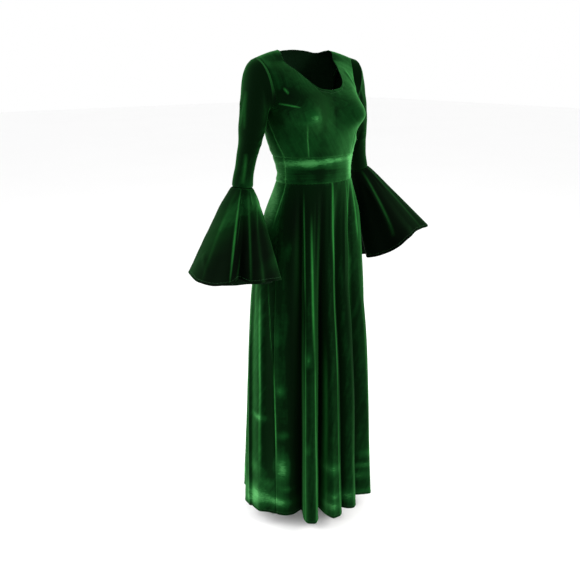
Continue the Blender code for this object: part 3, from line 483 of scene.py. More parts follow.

# Patches of crushed or brushed pile mixed with painted highlights and painted shade: centre, reach each way
# and strength
NapAndLight = namedtuple("NapAndLight", "centre reach lift")
NAP_AND_LIGHT_PATCHES = table(
    NapAndLight,
    ((-0.088, -0.136, -0.170), (0.014, 0.040, 0.013), 0.68),
    ((-0.104, -0.120, -0.184), (0.016, 0.040, 0.005), 0.24),
    ((0.084, -0.140, -0.160), (0.016, 0.030, 0.016), 0.15),
    ((-0.050, -0.094, -0.120), (0.075, 0.060, 0.036), -0.28),
    ((-0.142, -0.030, -0.170), (0.028, 0.050, 0.050), -0.30),
    ((-0.120, -0.090, -0.120), (0.030, 0.050, 0.030), -0.20),
    ((0.040, -0.110, -0.235), (0.085, 0.060, 0.045), 0.08),
    ((0.122, -0.060, -0.215), (0.022, 0.050, 0.080), 0.20),
    ((-0.090, -0.095, -0.255), (0.026, 0.040, 0.020), 0.12),
    ((0.118, -0.030, -0.075), (0.024, 0.040, 0.040), 0.10),
    ((-0.080, -0.096, -0.293), (0.080, 0.060, 0.012), 0.95),
    ((0.014, -0.113, -0.287), (0.060, 0.050, 0.008), 0.50),
    ((0.092, -0.085, -0.312), (0.034, 0.050, 0.045), 0.80),
    ((-0.050, -0.108, -0.317), (0.070, 0.050, 0.010), -0.26),
    ((-0.118, -0.040, -0.320), (0.016, 0.030, 0.040), 0.30),
    ((-0.030, -0.108, -0.349), (0.040, 0.050, 0.006), 0.26),
    ((-0.105, -0.045, -0.020), (0.060, 0.060, 0.055), -0.45),
    ((0.080, -0.070, -0.050), (0.040, 0.060, 0.050), -0.25),
    ((-0.128, -0.060, -0.112), (0.020, 0.030, 0.020), -0.45),
    ((-0.050, -0.125, -0.165), (0.018, 0.040, 0.034), -0.40),
    ((0.024, -0.110, -0.165), (0.040, 0.050, 0.050), 0.14),
    ((-0.020, 0.100, -0.100), (0.050, 0.040, 0.030), 0.35),
    ((0.040, 0.080, -0.230), (0.040, 0.040, 0.020), 0.25),
    ((-0.030, 0.066, -0.300), (0.080, 0.040, 0.012), 0.40),
    ((0.060, 0.060, -0.335), (0.060, 0.040, 0.010), -0.25),
    ((-0.232, 0.004, -0.310), (0.014, 0.020, 0.050), 0.22),
    ((0.232, 0.004, -0.140), (0.020, 0.020, 0.050), 0.15),
)

# The same on the skirt, where the long lowered patches are painted shade down the valleys between folds:
# angle from the front centre, height, reach each way and strength
SkirtNapAndLight = namedtuple("SkirtNapAndLight", "deg z wide tall lift")
SKIRT_NAP_AND_LIGHT_PATCHES = table(
    SkirtNapAndLight,
    (-90.0, -1.338, 0.060, 0.032, 1.00),
    (-80.0, -1.286, 0.024, 0.020, 0.60),
    (-90.0, -1.240, 0.030, 0.024, 0.45),
    (-98.0, -1.372, 0.034, 0.016, 0.60),
    (-87.0, -1.061, 0.030, 0.010, 0.85),
    (-64.0, -1.225, 0.024, 0.048, 0.95),
    (-67.0, -1.350, 0.040, 0.016, 0.80),
    (-60.0, -1.300, 0.020, 0.010, 0.55),
    (-65.5, -0.960, 0.012, 0.016, 0.70),
    (-62.8, -1.110, 0.018, 0.012, 0.60),
    (-38.3, -0.860, 0.008, 0.018, 0.70),
    (-60.0, -0.530, 0.012, 0.030, 0.38),
    (-67.0, -0.800, 0.014, 0.022, 0.26),
    (-12.5, -1.228, 0.022, 0.016, 0.75),
    (-11.0, -1.322, 0.020, 0.012, 0.75),
    (-13.4, -1.358, 0.028, 0.020, 0.90),
    (-38.0, -1.150, 0.010, 0.014, 0.30),
    (9.0, -1.350, 0.022, 0.022, 0.80),
    (42.0, -1.244, 0.014, 0.012, 0.62),
    (39.0, -1.286, 0.020, 0.009, 0.78),
    (36.5, -1.322, 0.016, 0.014, 0.66),
    (39.0, -1.382, 0.024, 0.010, 0.48),
    (-82.0, -0.415, 0.034, 0.075, 1.15),
    (-88.0, -0.740, 0.016, 0.140, 0.26),
    (-58.0, -0.440, 0.050, 0.085, -0.50),
    (-25.0, -0.420, 0.040, 0.060, -0.22),
    (-51.0, -0.760, 0.022, 0.300, -0.75),
    (-50.0, -1.240, 0.020, 0.260, -1.00),
    (-22.5, -0.960, 0.016, 0.520, -1.10),
    (0.5, -1.000, 0.013, 0.480, -1.00),
    (22.0, -1.000, 0.014, 0.480, -0.90),
    (-76.0, -0.980, 0.012, 0.260, -0.60),
    (54.0, -0.900, 0.030, 0.400, -0.22),
    (110.0, -1.330, 0.050, 0.040, 0.85),
    (134.0, -1.250, 0.030, 0.012, 0.70),
    (120.0, -0.450, 0.060, 0.080, -0.40),
    (165.0, -1.345, 0.040, 0.030, 0.85),
    (185.0, -0.500, 0.050, 0.100, -0.35),
    (196.0, -1.290, 0.030, 0.012, 0.70),
    (226.0, -1.340, 0.040, 0.034, 0.85),
    (205.0, -1.050, 0.016, 0.014, 0.70),
    (150.0, -0.930, 0.014, 0.016, 0.70),
    (232.0, -0.700, 0.026, 0.150, -0.30),
)

# ---------------------------------------------------------------- the gown's surfaces

EASE = 0.0025           # keeps the folds' turn from starting too fast at the band
ARMHOLE_SAMPLES = 400
BISECTIONS = 40         # halvings with which a point of the neckline is found


def hermite(t, step, before, after, slope_before, slope_after):
    """A cubic between two values with the slopes stated there, at a share t of the step."""
    start = before * (1 + 2 * t) * (1 - t) ** 2 + slope_before * step * t * (1 - t) ** 2
    end = after * t * t * (3 - 2 * t) + slope_after * step * t * t * (t - 1)
    return start + end


def smooth(knots, values, at):
    """Monotone cubic through a table's column: it never swings past a row."""
    knots = np.asarray(knots, float)
    values = np.asarray(values, float)
    at = np.clip(np.asarray(at, float), knots[0], knots[-1])
    steps = np.diff(knots)
    rises = np.diff(values) / steps
    slopes = np.zeros(len(knots))
    slopes[0], slopes[-1] = rises[0], rises[-1]
    same_way = rises[:-1] * rises[1:] > 0
    weight_a = 2 * steps[1:] + steps[:-1]
    weight_b = steps[1:] + 2 * steps[:-1]
    safe_a = np.where(same_way, rises[:-1], 1.0)
    safe_b = np.where(same_way, rises[1:], 1.0)
    mean = (weight_a + weight_b) / (weight_a / safe_a + weight_b / safe_b)
    slopes[1:-1] = np.where(same_way, mean, 0.0)
    cell = np.clip(np.searchsorted(knots, at, side="right") - 1, 0, len(steps) - 1)
    t = (at - knots[cell]) / steps[cell]
    return hermite(t, steps[cell], values[cell], values[cell + 1], slopes[cell], slopes[cell + 1])


def column(rows, name):
    return [getattr(row, name) for row in rows]


def read_rows(rows, knots, at):
    """Every column of a table, read between its rows."""
    kind = type(rows[0])
    return kind(*(smooth(knots, column(rows, name), at) for name in kind._fields))


def read_round(folds, u):
    """Every column of a closed ring's table, read between its rows. Its angles run on past a turn."""
    kind, count = type(folds[0]), len(folds)
    knots = range(-count, 2 * count)
    columns = []
    for name in kind._fields:
        turn = 360 if name.endswith("deg") else 0
        values = [getattr(folds[knot % count], name) + turn * (knot // count) for knot in knots]
        columns.append(smooth(knots, values, u))
    return kind(*columns)


def unit(vector):
    return vector / np.linalg.norm(vector, axis=-1, keepdims=True)


def eased(share):
    """A share from 0 to 1 that starts and ends slowly."""
    return share * share * (3 - 2 * share)


def round_point(angle, reach, z):
    """A point at a distance from the centre line. The angle runs from the front centre, positive to
    the wearer's left."""
    return np.stack([reach * np.sin(angle), -reach * np.cos(angle), z + 0 * angle], axis=-1)


def ray_to_ellipse(angle, half_width, centre_y, half_depth):
    """Distance from the centre line to an ellipse set back by centre_y, along a direction."""
    across, forward = np.sin(angle), -np.cos(angle)
    a = (across / half_width) ** 2 + (forward / half_depth) ** 2
    b = -2 * forward * centre_y / half_depth**2
    c = (centre_y / half_depth) ** 2 - 1
    return (-b + np.sqrt(b * b - 4 * a * c)) / (2 * a)


def band_point(angle, z):
    """A point of the waistband."""
    row = read_rows(BAND_ROWS, column(BAND_ROWS, "z"), z)
    return round_point(angle, ray_to_ellipse(angle, row.half_width, row.centre_y, row.half_depth), z)


def read_bodice(name, row):
    """A column of the bodice's table, read between its rows."""
    return smooth(range(len(BODICE_ROWS)), column(BODICE_ROWS, name), row)


def edge_y(side, row):
    """From front to back, the edge is one side seam up to the underarm, and then half the armhole."""
    values = column(BODICE_ROWS, side + "_edge_y")
    seam = smooth(range(UNDERARM_ROW + 1), values[: UNDERARM_ROW + 1], row)
    armhole = smooth(range(UNDERARM_ROW, len(values)), values[UNDERARM_ROW:], row)
    return np.where(row <= UNDERARM_ROW, seam, armhole)


def uncut_y(side, row):
    """The edge's line as the cloth within it runs, before the armhole's lower curve is cut."""
    knots = [index for index in range(len(BODICE_ROWS)) if index not in ARMHOLE_CURVE]
    values = column(BODICE_ROWS, side + "_edge_y")
    return smooth(knots, [values[index] for index in knots], row)


def bodice_point(side, across, row):
    """A point of the bodice. across is -1 to 1 between the edges, row counts the table's rows."""
    edge_x, edge_z = read_bodice("edge_x", row), read_bodice("edge_z", row)
    uncut = uncut_y(side, row)
    cut = (edge_y(side, row) - uncut) * np.abs(across) ** CUT_POWER
    middle_y, middle_z = read_bodice(side + "_y", row), read_bodice(side + "_z", row)
    turn = np.radians(read_bodice(side + "_turn", row))
    x = edge_x * np.sin(turn * across) / np.sin(turn)
    inward = (np.cos(turn * across) - np.cos(turn)) / (1 - np.cos(turn))
    y = uncut + (middle_y - uncut) * inward + cut
    z = edge_z + (middle_z - edge_z) * inward
    if side == "front":
        drop = z - BUST_HEIGHT
        spread = np.where(drop > 0, BUST_ABOVE, BUST_BELOW)
        bump = np.exp(-(((np.abs(x) - BUST_APART) / BUST_WIDE) ** 2) - (drop / spread) ** 2)
        bump = BUST_OUT * bump * (1 - np.abs(across) ** BUST_EDGE_POWER)
        y = y - bump
        x = x + BUST_SPREAD * bump * np.sign(x)
    return np.stack([x, y, z], axis=-1)


def across_at(side, half_width, row):
    """How far round the bodice a point lies, at a half width and a row."""
    edge_x = read_bodice("edge_x", row)
    turn = math.radians(read_bodice(side + "_turn", row))
    return math.asin(min(1.0, half_width * math.sin(turn) / edge_x)) / turn


def neck_places(side, rows):
    """Where the neckline's points lie on the bodice, as (across, row) pairs from shoulder to centre."""
    places = []
    for wanted in rows:
        low, high = float(UNDERARM_ROW), float(len(BODICE_ROWS) - 1)
        for _ in range(BISECTIONS):
            middle = (low + high) / 2
            across = across_at(side, wanted.half_width, middle)
            height = bodice_point(side, np.array(across), np.array(middle))[2]
            if height < wanted.z:
                low = middle
            else:
                high = middle
        places.append((across_at(side, wanted.half_width, low), low))
    return places


def bodice_top_path(side, neck):
    """Corners of the bodice's upper edge from the shoulder tip to the neckline's centre, as
    (across, row) pairs with the share of its length at which each lies."""
    top_row = len(BODICE_ROWS) - 1
    corner = (across_at(side, neck[0].half_width, top_row), top_row)
    path = [(1.0, top_row), corner] + neck_places(side, neck[1:])
    points = [bodice_point(side, np.array(a), np.array(r)) for a, r in path]
    lengths = [0.0]
    for before, after in zip(points, points[1:]):
        lengths.append(lengths[-1] + float(np.linalg.norm(after - before)))
    return path, np.array(lengths) / lengths[-1]


def bodice_top(path, marks, share):
    """The bodice's upper edge, read at a share of its length."""
    neck_mark = marks[1]
    along_neck = np.clip(share, neck_mark, 1)
    across = smooth(marks[1:], [a for a, _ in path[1:]], along_neck)
    row = smooth(marks[1:], [r for _, r in path[1:]], along_neck)
    on_shoulder = np.clip(share / neck_mark, 0, 1)
    shoulder_across = 1 + (path[1][0] - 1) * on_shoulder
    shoulder = share < neck_mark
    return np.where(shoulder, shoulder_across, across), np.where(shoulder, path[0][1], row)


def bodice_surface(side, path, marks):
    """The front or back: u is -1 to 1 from edge to edge. v counts the table's rows up to the
    underarm, and above it each column's rows crowd together to end at the neckline."""
    last = len(BODICE_ROWS) - 1

    def surface(u, v):
        share = 1 - np.abs(u)
        top_across, top_row = bodice_top(path, marks, share)
        across = np.abs(u) + (top_across - np.abs(u)) * v / last
        above = np.maximum(v - UNDERARM_ROW, 0) * (top_row - UNDERARM_ROW) / (last - UNDERARM_ROW)
        return bodice_point(side, np.sign(u) * across, np.minimum(v, UNDERARM_ROW) + above)

    return surface


def skirt_surface(u, v):
    """The skirt: u counts the fold rows, closing on itself behind, and v is the height."""
    fold = read_round(SKIRT_FOLDS, u)
    fall = np.clip((BAND_BOTTOM - v) / (BAND_BOTTOM - HEM_HEIGHT), 0, 1)
    angle = np.radians(fold.band_deg + (fold.hem_deg - fold.band_deg) * np.sqrt(fall + EASE))
    row = read_rows(SKIRT_ROWS, [-row.z for row in SKIRT_ROWS], -v)
    depth = side_depth(angle, row.front_depth, row.back_depth)
    reach = ray_to_ellipse(angle, row.half_width, row.centre_y, depth)
    outs = [0 * u, fold.hip_out, fold.knee_out, fold.hem_out]
    reach = reach + blend_levels([BAND_BOTTOM, HIP, KNEE, HEM_HEIGHT], outs, v)
    return round_point(angle, reach, v)


def side_depth(angle, front, back):
    """The front's half depth and the back's blend into each other round the sides."""
    return front + (back - front) * eased(np.clip(0.5 - np.cos(angle), 0, 1))


def blend_levels(levels, outs, at):
    """Smooth curve down the heights at which the fold table is stated."""
    spans = list(zip(levels, levels[1:], outs, outs[1:]))
    slopes = [(after - before) / (low - high) for high, low, before, after in spans]
    slopes = [slopes[0]] + [(above + below) / 2 for above, below in zip(slopes, slopes[1:])] + [slopes[-1]]
    result = outs[0]
    for (high, low, before, after), slope_above, slope_below in zip(spans, slopes, slopes[1:]):
        step = low - high
        curve = hermite((at - high) / step, step, before, after, slope_above, slope_below)
        result = np.where(at <= high, curve, result)
    return result


def armhole_rows(angle):
    """The bodice row that the armhole has reached, at an angle from its top."""
    rows = np.linspace(UNDERARM_ROW, len(BODICE_ROWS) - 1, ARMHOLE_SAMPLES)
    heights = read_bodice("edge_z", rows)
    low, high = heights[0], heights[-1]
    return np.interp((low + high) / 2 + (high - low) / 2 * np.cos(angle), heights, rows)


def armhole_ring(angle):
    """The armhole of the wearer's left side. The angle runs from its top over the front."""
    row = armhole_rows(angle)
    y = np.where(np.sin(angle) > 0, edge_y("front", row), edge_y("back", row))
    return np.stack([read_bodice("edge_x", row), y, read_bodice("edge_z", row)], axis=-1)


def sleeve_surface(mirror, rows):
    """The sleeve: u is the angle round it, v counts the rings from the armhole."""
    knots = range(1, len(rows) + 1)

    def surface(u, v):
        row = read_rows(rows, knots, np.maximum(v, 1))
        x = (row.outer_x + row.inner_x) / 2 + (row.outer_x - row.inner_x) / 2 * np.cos(u)
        z = (row.outer_z + row.inner_z) / 2 + (row.outer_z - row.inner_z) / 2 * np.cos(u)
        ring = np.stack([x, row.middle_y - row.half_depth * np.sin(u), z], axis=-1)
        armhole = armhole_ring(u) + np.array([ARMHOLE_OFF, 0, 0])
        share = np.clip(1 - v, 0, 1)[..., None]
        point = ring + (armhole - ring) * share
        return point * np.array([mirror, 1, 1])

    return surface


def bell_surface(mirror, cuff, folds, pose):
    """The bell: u counts the fold rows, closing on itself, and v is 0 at the seam and 1 at the hem."""
    start = np.array([(cuff.outer_x + cuff.inner_x) / 2, cuff.middle_y, (cuff.outer_z + cuff.inner_z) / 2])
    cuff_across = unit(np.array([cuff.outer_x - cuff.inner_x, 0, cuff.outer_z - cuff.inner_z]))
    lean = unit(np.array(pose.lean))
    hem_across = unit(np.array([1, 0, 0]) - lean * lean[0])
    mean = sum(column(folds, "hem_radius")) / len(folds)

    def surface(u, v):
        v = np.clip(v, 0, 1)
        fold = read_round(folds, u)
        angle = np.radians(fold.deg)
        open_share = v**pose.spread
        fold_share = v**FOLD_START
        radius = BELL_TOP + (mean - BELL_TOP) * open_share + (fold.hem_radius - mean) * fold_share
        down_share = v[..., None]
        across = unit(cuff_across + (hem_across - cuff_across) * down_share)
        down = unit(np.array([0, 0, -1]) * (1 - down_share) + lean * down_share)
        down = unit(down - across * np.sum(down * across, axis=-1, keepdims=True))
        forward = np.cross(across, down)
        forward = forward * np.sign(-forward[..., 1:2])
        centre = start + (np.array(pose.hem_centre) - start) * down_share
        centre = centre + down * (SEAM_GAP + (fold.drop * v * v)[..., None])
        round_hem = across * np.cos(angle)[..., None] + forward * np.sin(angle)[..., None]
        return (centre + radius[..., None] * round_hem) * np.array([mirror, 1, 1])

    return surface


# ---------------------------------------------------------------- cloth in thin shells

# How finely each piece is divided
BODICE_STEPS, ARMHOLE_STEPS = 36, 84
SHOULDER_COLUMNS, NECK_COLUMNS = 22, 64
BAND_COLUMNS, BAND_STEPS = 150, 22
SKIRT_STEPS, FOLD_STEPS = 120, 9
SLEEVE_COLUMNS, SLEEVE_STEPS = 96, 110
BELL_FOLD_STEPS, BELL_STEPS = 9, 64
SMALL = 1e-4            # step for reading a surface's direction
SHARP_EDGE = math.radians(60.0)

# Added rows at these distances from a seam and from a hem
SEAM_ROWS = (0.0005, 0.0011, 0.0018, 0.0027, 0.0040, 0.0060)
HEM_ROWS = (0.0004, 0.0009, 0.0016, 0.0030, 0.0048, 0.0064, 0.0074, 0.0082, 0.0090, 0.0100, 0.0118, 0.0145)

# Sewing
SEAM_WIDTH = 0.0020     # how wide a seam's groove is
SEAM_REACH, SEAM_SHOULDER = 0.0070, 0.35    # the wider dip round it, and its share of the depth
HEM_DEPTH = 0.0082      # stitch line above a turned hem
HEM_BLUR = 0.0007       # over this the doubled cloth ends
STITCH_WIDTH = 0.0013   # how wide the dent along a line of stitches is
PUCKER_REACH, PUCKER_LENGTH = 0.011, 0.017  # how far gathers reach from a seam, and how long one is
HEM_ROUNDING = 0.8      # at 1 a hem's edge is round
ALLOWANCE, ALLOWANCE_WALL = 0.006, 0.0008   # how deep a seam allowance stands inside, and how thick

# Relief
RIPPLE_WAVES, RIPPLE_SIZES = 6, (0.6, 1.7)  # waves in a ripple, and their sizes beside the stated one
CREASE_SAMPLES, CREASE_TAPER = 24, 0.6      # points along a crease, and how soon it is at full height
FALL_FADE = 0.35        # the share of a fall over which it rises and dies away
FOLD_REACH, FOLD_HEIGHT = 0.028, 0.009      # cloth this high above its surroundings is a fold's crest

# A piece's points, the way each faces and how far each lies from the piece's four sides
Grid = namedtuple("Grid", "u v points out left right bottom top")


def runs(points):
    """How far each point of a grid lies from its four sides, along the cloth."""
    across = np.cumsum(np.linalg.norm(np.diff(points, axis=1), axis=-1), axis=1)
    up = np.cumsum(np.linalg.norm(np.diff(points, axis=0), axis=-1), axis=0)
    left = np.pad(across, ((0, 0), (1, 0)))
    bottom = np.pad(up, ((1, 0), (0, 0)))
    return left, left[:, -1:] - left, bottom, bottom[-1:] - bottom


def hump(distance, width):
    return np.exp(-((distance / width) ** 2))


def seam_dip(distance, cloth):
    """The groove beside a sewn seam."""
    return -cloth.seam_dip * (hump(distance, SEAM_WIDTH) + SEAM_SHOULDER * hump(distance, SEAM_REACH))


def turned_hem(distance, cloth):
    """A doubled edge that stands a little proud, with the dent of its stitch line."""
    doubled = cloth.hem_rise / (1 + np.exp((distance - HEM_DEPTH) / HEM_BLUR))
    return doubled - cloth.stitch_dent * hump(distance - HEM_DEPTH, STITCH_WIDTH)


def ripple(across, along, size, seed):
    """Uneven waves of about one size, between -1 and 1."""
    draw = np.random.default_rng(seed)
    total = np.zeros(np.shape(across + along))
    for _ in range(RIPPLE_WAVES):
        heading, phase = draw.uniform(0, 2 * math.pi, 2)
        length = size * draw.uniform(*RIPPLE_SIZES)
        place = across * math.cos(heading) + along * math.sin(heading)
        total += np.sin(2 * math.pi * place / length + phase)
    return total / RIPPLE_WAVES


def pucker(distance, along, cloth, seed):
    """Small uneven gathers that a row of sewing draws up beside it."""
    return cloth.pucker * hump(distance, PUCKER_REACH) * ripple(along, distance, PUCKER_LENGTH, seed)


def fold_painted_light(points, out, closed):
    """Where the cloth stands out from its own average, near 1, or lies behind it, near -1. The velvet paints
    crests lighter and hollows darker from it, as painted light and painted shade.
    """
    wide = points.shape[1]
    step = np.linalg.norm(np.diff(points, axis=1), axis=-1).mean()
    reach = max(1, round(FOLD_REACH / step))
    spread = np.arange(-2 * reach, 2 * reach + 1)
    weights = np.exp(-((spread / reach) ** 2))
    weights /= weights.sum()
    beyond = {"mode": "wrap"} if closed else {"mode": "reflect", "reflect_type": "odd"}
    padded = np.pad(points, ((0, 0), (2 * reach, 2 * reach), (0, 0)), **beyond)
    average = sum(weight * padded[:, i : i + wide] for i, weight in enumerate(weights))
    stands = np.sum((points - average) * out, axis=-1)
    return np.tanh((stands - stands.mean(axis=1, keepdims=True)) / FOLD_HEIGHT)


def crease_relief(grid, creases):
    """The height of the listed ridges and troughs at each point, measured along the cloth."""
    flat, out = grid.points.reshape(-1, 3), grid.out.reshape(-1, 3)
    total = np.zeros(len(flat))
    t = np.linspace(0, 1, CREASE_SAMPLES)[:, None]
    for crease in creases:
        start, middle, end = (np.array(p) for p in crease[:3])
        pull = 2 * middle - (start + end) / 2
        line = start * (1 - t) ** 2 + pull * 2 * t * (1 - t) + end * t**2
        near = np.flatnonzero(np.linalg.norm(flat - middle, axis=1) < np.linalg.norm(end - start))
        if len(near) == 0:
            continue
        best = np.full(len(near), np.inf)
        place = np.zeros(len(near))
        for index, (a, b) in enumerate(zip(line, line[1:])):
            span = b - a
            share = np.clip((flat[near] - a) @ span / (span @ span), 0, 1)
            away = flat[near] - a - share[:, None] * span
            away -= out[near] * np.sum(away * out[near], axis=1, keepdims=True)
            distance = np.linalg.norm(away, axis=1)
            closer = distance < best
            best = np.where(closer, distance, best)
            place = np.where(closer, (index + share) / (CREASE_SAMPLES - 1), place)
        taper = np.sin(math.pi * place) ** CREASE_TAPER
        total[near] += crease.height * taper * hump(best, crease.width)
    return total.reshape(grid.points.shape[:-1])


def round_skirt(points):
    """How far points lie from a line down the skirt, for any angle of it from the front centre."""
    degrees = np.degrees(np.arctan2(points[..., 0], -points[..., 1]))
    reach = np.hypot(points[..., 0], points[..., 1])
    return lambda centre: np.radians((degrees - centre + 180) % 360 - 180) * reach


def fall_relief(points, falls):
    """The height of the ridges and troughs that fall down the skirt."""
    across, z = round_skirt(points), points[..., 2]
    total = np.zeros(z.shape)
    for fall in falls:
        share = (fall.top_z - z) / (fall.top_z - fall.low_z)
        centre = fall.top_deg + (fall.low_deg - fall.top_deg) * np.clip(share, 0, 1)
        ends = np.clip(share / FALL_FADE, 0, 1)
        if fall.low_z != HEM_HEIGHT:
            ends = ends * np.clip((1 - share) / FALL_FADE, 0, 1)
        total += fall.height * eased(ends) * hump(across(centre), fall.width)
    return total


def nap_and_painted_light_at(points, base):
    """How far the pile is brushed the light way, from -1 to 1, mixed with painted highlights and painted
    shade.
    """
    lift = np.full(points.shape[:-1], base)
    for patch in NAP_AND_LIGHT_PATCHES:
        away = (points - np.array(patch.centre)) / np.array(patch.reach)
        lift += patch.lift * np.exp(-np.sum(away * away, axis=-1))
    across, z = round_skirt(points), points[..., 2]
    for patch in SKIRT_NAP_AND_LIGHT_PATCHES:
        lift += patch.lift * hump(across(patch.deg), patch.wide) * hump(z - patch.z, patch.tall)
    return np.clip(lift, -1, 1)


def graded(low, high, count, span, start=(), end=()):
    """Steps from low to high, with added ones at stated distances from each end of a run."""
    clear_low = max(start, default=0) / span
    clear_high = 1 - max(end, default=0) / span
    kept = [s for s in np.linspace(0, 1, count + 1) if clear_low < s < clear_high]
    shares = [0.0, *[d / span for d in start], *kept, *[1 - d / span for d in reversed(end)], 1.0]
    return low + (high - low) * np.array(shares)


def shell(name, surface, us, vs, inside, relief, nap, seams="", turned="", shared=(), closed=False):
    """One piece of cloth, as its solid is made, with relief and rounded hems. Returns it with its
    grid and its outer points.

    seams, shared and inside mean what they do for the solid: sewn sides stop half a seam's gap
    short, and two pieces that meet at an angle are cut square to the same plane. The turned sides
    have a seam allowance inside.
    """
    u, v = np.meshgrid(us, vs)
    along_u = surface(u + SMALL, v) - surface(u - SMALL, v)
    along_v = surface(u, v + SMALL) - surface(u, v - SMALL)
    points = surface(u, v)
    normals = unit(np.cross(along_u, along_v))
    facing = 1.0 if np.sum(normals * (points - np.asarray(inside))) > 0 else -1.0
    edges = {
        "left": (np.s_[:, 0], along_u),
        "right": (np.s_[:, -1], -along_u),
        "bottom": (np.s_[0], along_v),
        "top": (np.s_[-1], -along_v),
    }
    half = SEAM_GAP / 2
    shift = np.zeros_like(points)
    for side in [name for name in ("left", "right") if name in seams]:
        where, inward = edges[side]
        shift[where] += unit(inward[where]) * half
    for where, side, cut_faces in shared:
        inward = edges[side][1]
        line = unit(np.gradient(points[where], axis=0))
        along = line * np.sum(line * cut_faces, axis=-1, keepdims=True)
        normals[where] = facing * unit(cut_faces - along)
        square = unit(np.cross(line, normals[where]))
        shift[where] = square * np.sign(np.sum(square * inward[where], axis=-1, keepdims=True)) * half
    for side in [name for name in ("bottom", "top") if name in seams]:
        where, inward = edges[side]
        shift[where] += unit(inward[where]) * half
        normals[where] = unit(normals[where] * np.array([1, 1, 0]))
    out = normals * facing
    grid = Grid(u, v, points, out, *runs(points))
    height, hem_distance, gleam = relief(grid)
    near = np.clip(1 - hem_distance / (WALL / 2), 0, 1)
    rounding = WALL / 2 * HEM_ROUNDING * (1 - np.sqrt(1 - near * near))
    base = points + shift + out * height[..., None]
    outer = base - out * rounding[..., None]
    inner = base - out * (WALL - rounding)[..., None]
    # Marks for the velvet: the pile's lie mixed with painted highlights and shade, the fold measure from
    # which crest light and hollow shade are painted, and painted highlight lines
    marks = {"nap": nap_and_painted_light_at(points, nap), "fold": fold_painted_light(points, out, closed), "gleam": gleam}
    tips = {}
    for side in turned.split():
        where, inward = edges[side]
        tip = base[where] - out[where] * (WALL + ALLOWANCE)
        tips[side] = (tip, tip + unit(inward[where]) * ALLOWANCE_WALL)
    return join_wall(name, grid, outer, inner, closed, facing, marks, tips), grid, outer


def join_wall(name, grid, outer, inner, closed, facing, marks, tips):
    """The mesh of a wall from its outer and inner grids, with the tips of its seam allowances. It has
    its UV map in metres and its marks as attributes.
    """
    tall, wide = outer.shape[:2]
    spans = wide if closed else wide - 1
    row, col = (a.ravel() for a in np.meshgrid(np.arange(tall - 1), np.arange(spans), indexing="ij"))
    count = tall * wide

    def at(r, c, layer):
        return layer * count + r * wide + c % wide

    quads = [
        np.stack([at(row, col, 0), at(row, col + 1, 0), at(row + 1, col + 1, 0), at(row + 1, col, 0)], 1),
        np.stack([at(row + 1, col, 1), at(row + 1, col + 1, 1), at(row, col + 1, 1), at(row, col, 1)], 1),
    ]
    cells = np.arange(count).reshape(tall, wide)
    rims = {"bottom": cells[0][::-1], "top": cells[-1]}
    if closed:
        rims = {side: np.append(rim, rim[0]) for side, rim in rims.items()}
    else:
        rims |= {"left": cells[:, 0], "right": cells[::-1, -1]}
    vertices = [outer.reshape(-1, 3), inner.reshape(-1, 3)]
    source = [np.arange(count), np.arange(count)]
    for side, rim in rims.items():
        path = [rim, rim + count]
        if side in tips:
            order = np.s_[:] if side in ("top", "left") else np.s_[::-1]
            for tip in tips[side]:
                first = sum(len(part) for part in vertices)
                spots = first + np.arange(len(tip))[order]
                vertices.append(tip)
                source.append(rim[: len(tip)][order])
                path.insert(-1, np.append(spots, spots[0]) if closed else spots)
            if not closed:
                outer_end, *middle, inner_end = (line[[0, -1]] for line in path)
                ends = np.stack([outer_end, *middle, inner_end], 1)
                quads.append(np.stack([ends[0], ends[1][::-1]]))
        for upper, lower in zip(path, path[1:]):
            quads.append(np.stack([upper[:-1], upper[1:], lower[1:], lower[:-1]], 1))
    faces = np.concatenate(quads)
    if facing < 0:
        faces = faces[:, ::-1]
    source = np.concatenate(source)
    mesh = bpy.data.meshes.new(name)
    mesh.from_pydata(np.concatenate(vertices).tolist(), [], faces.tolist())
    backing = np.zeros(len(faces), np.int32)
    backing[len(quads[0]) : 2 * len(quads[0])] = 1
    mesh.polygons.foreach_set("material_index", backing)
    measure = np.stack([grid.left - grid.left.mean(), grid.bottom], axis=-1).reshape(-1, 2)
    corner = source[faces.ravel()]
    layer = mesh.uv_layers.new(name="cloth")
    layer.data.foreach_set("uv", measure[corner].astype(np.float32).ravel())
    for label, values in marks.items():
        attribute = mesh.attributes.new(label, "FLOAT", "POINT")
        attribute.data.foreach_set("value", values.ravel()[source].astype(np.float32))
    mesh.update()
    mesh.shade_smooth()
    mesh.set_sharp_from_angle(angle=SHARP_EDGE)
    return added(name, mesh)


def added(name, data):
    """A new object in the scene."""
    piece = bpy.data.objects.new(name, data)
    bpy.context.scene.collection.objects.link(piece)
    return piece


def line_at(grid, outer, side, distance):
    """A line on the cloth at a distance from one of its sides."""
    run = getattr(grid, side)
    line = []
    for col in range(run.shape[1]):
        order = np.argsort(run[:, col])
        line.append([np.interp(distance, run[order, col], outer[order, col, axis]) for axis in range(3)])
    return np.array(line)


# ---------------------------------------------------------------- finish

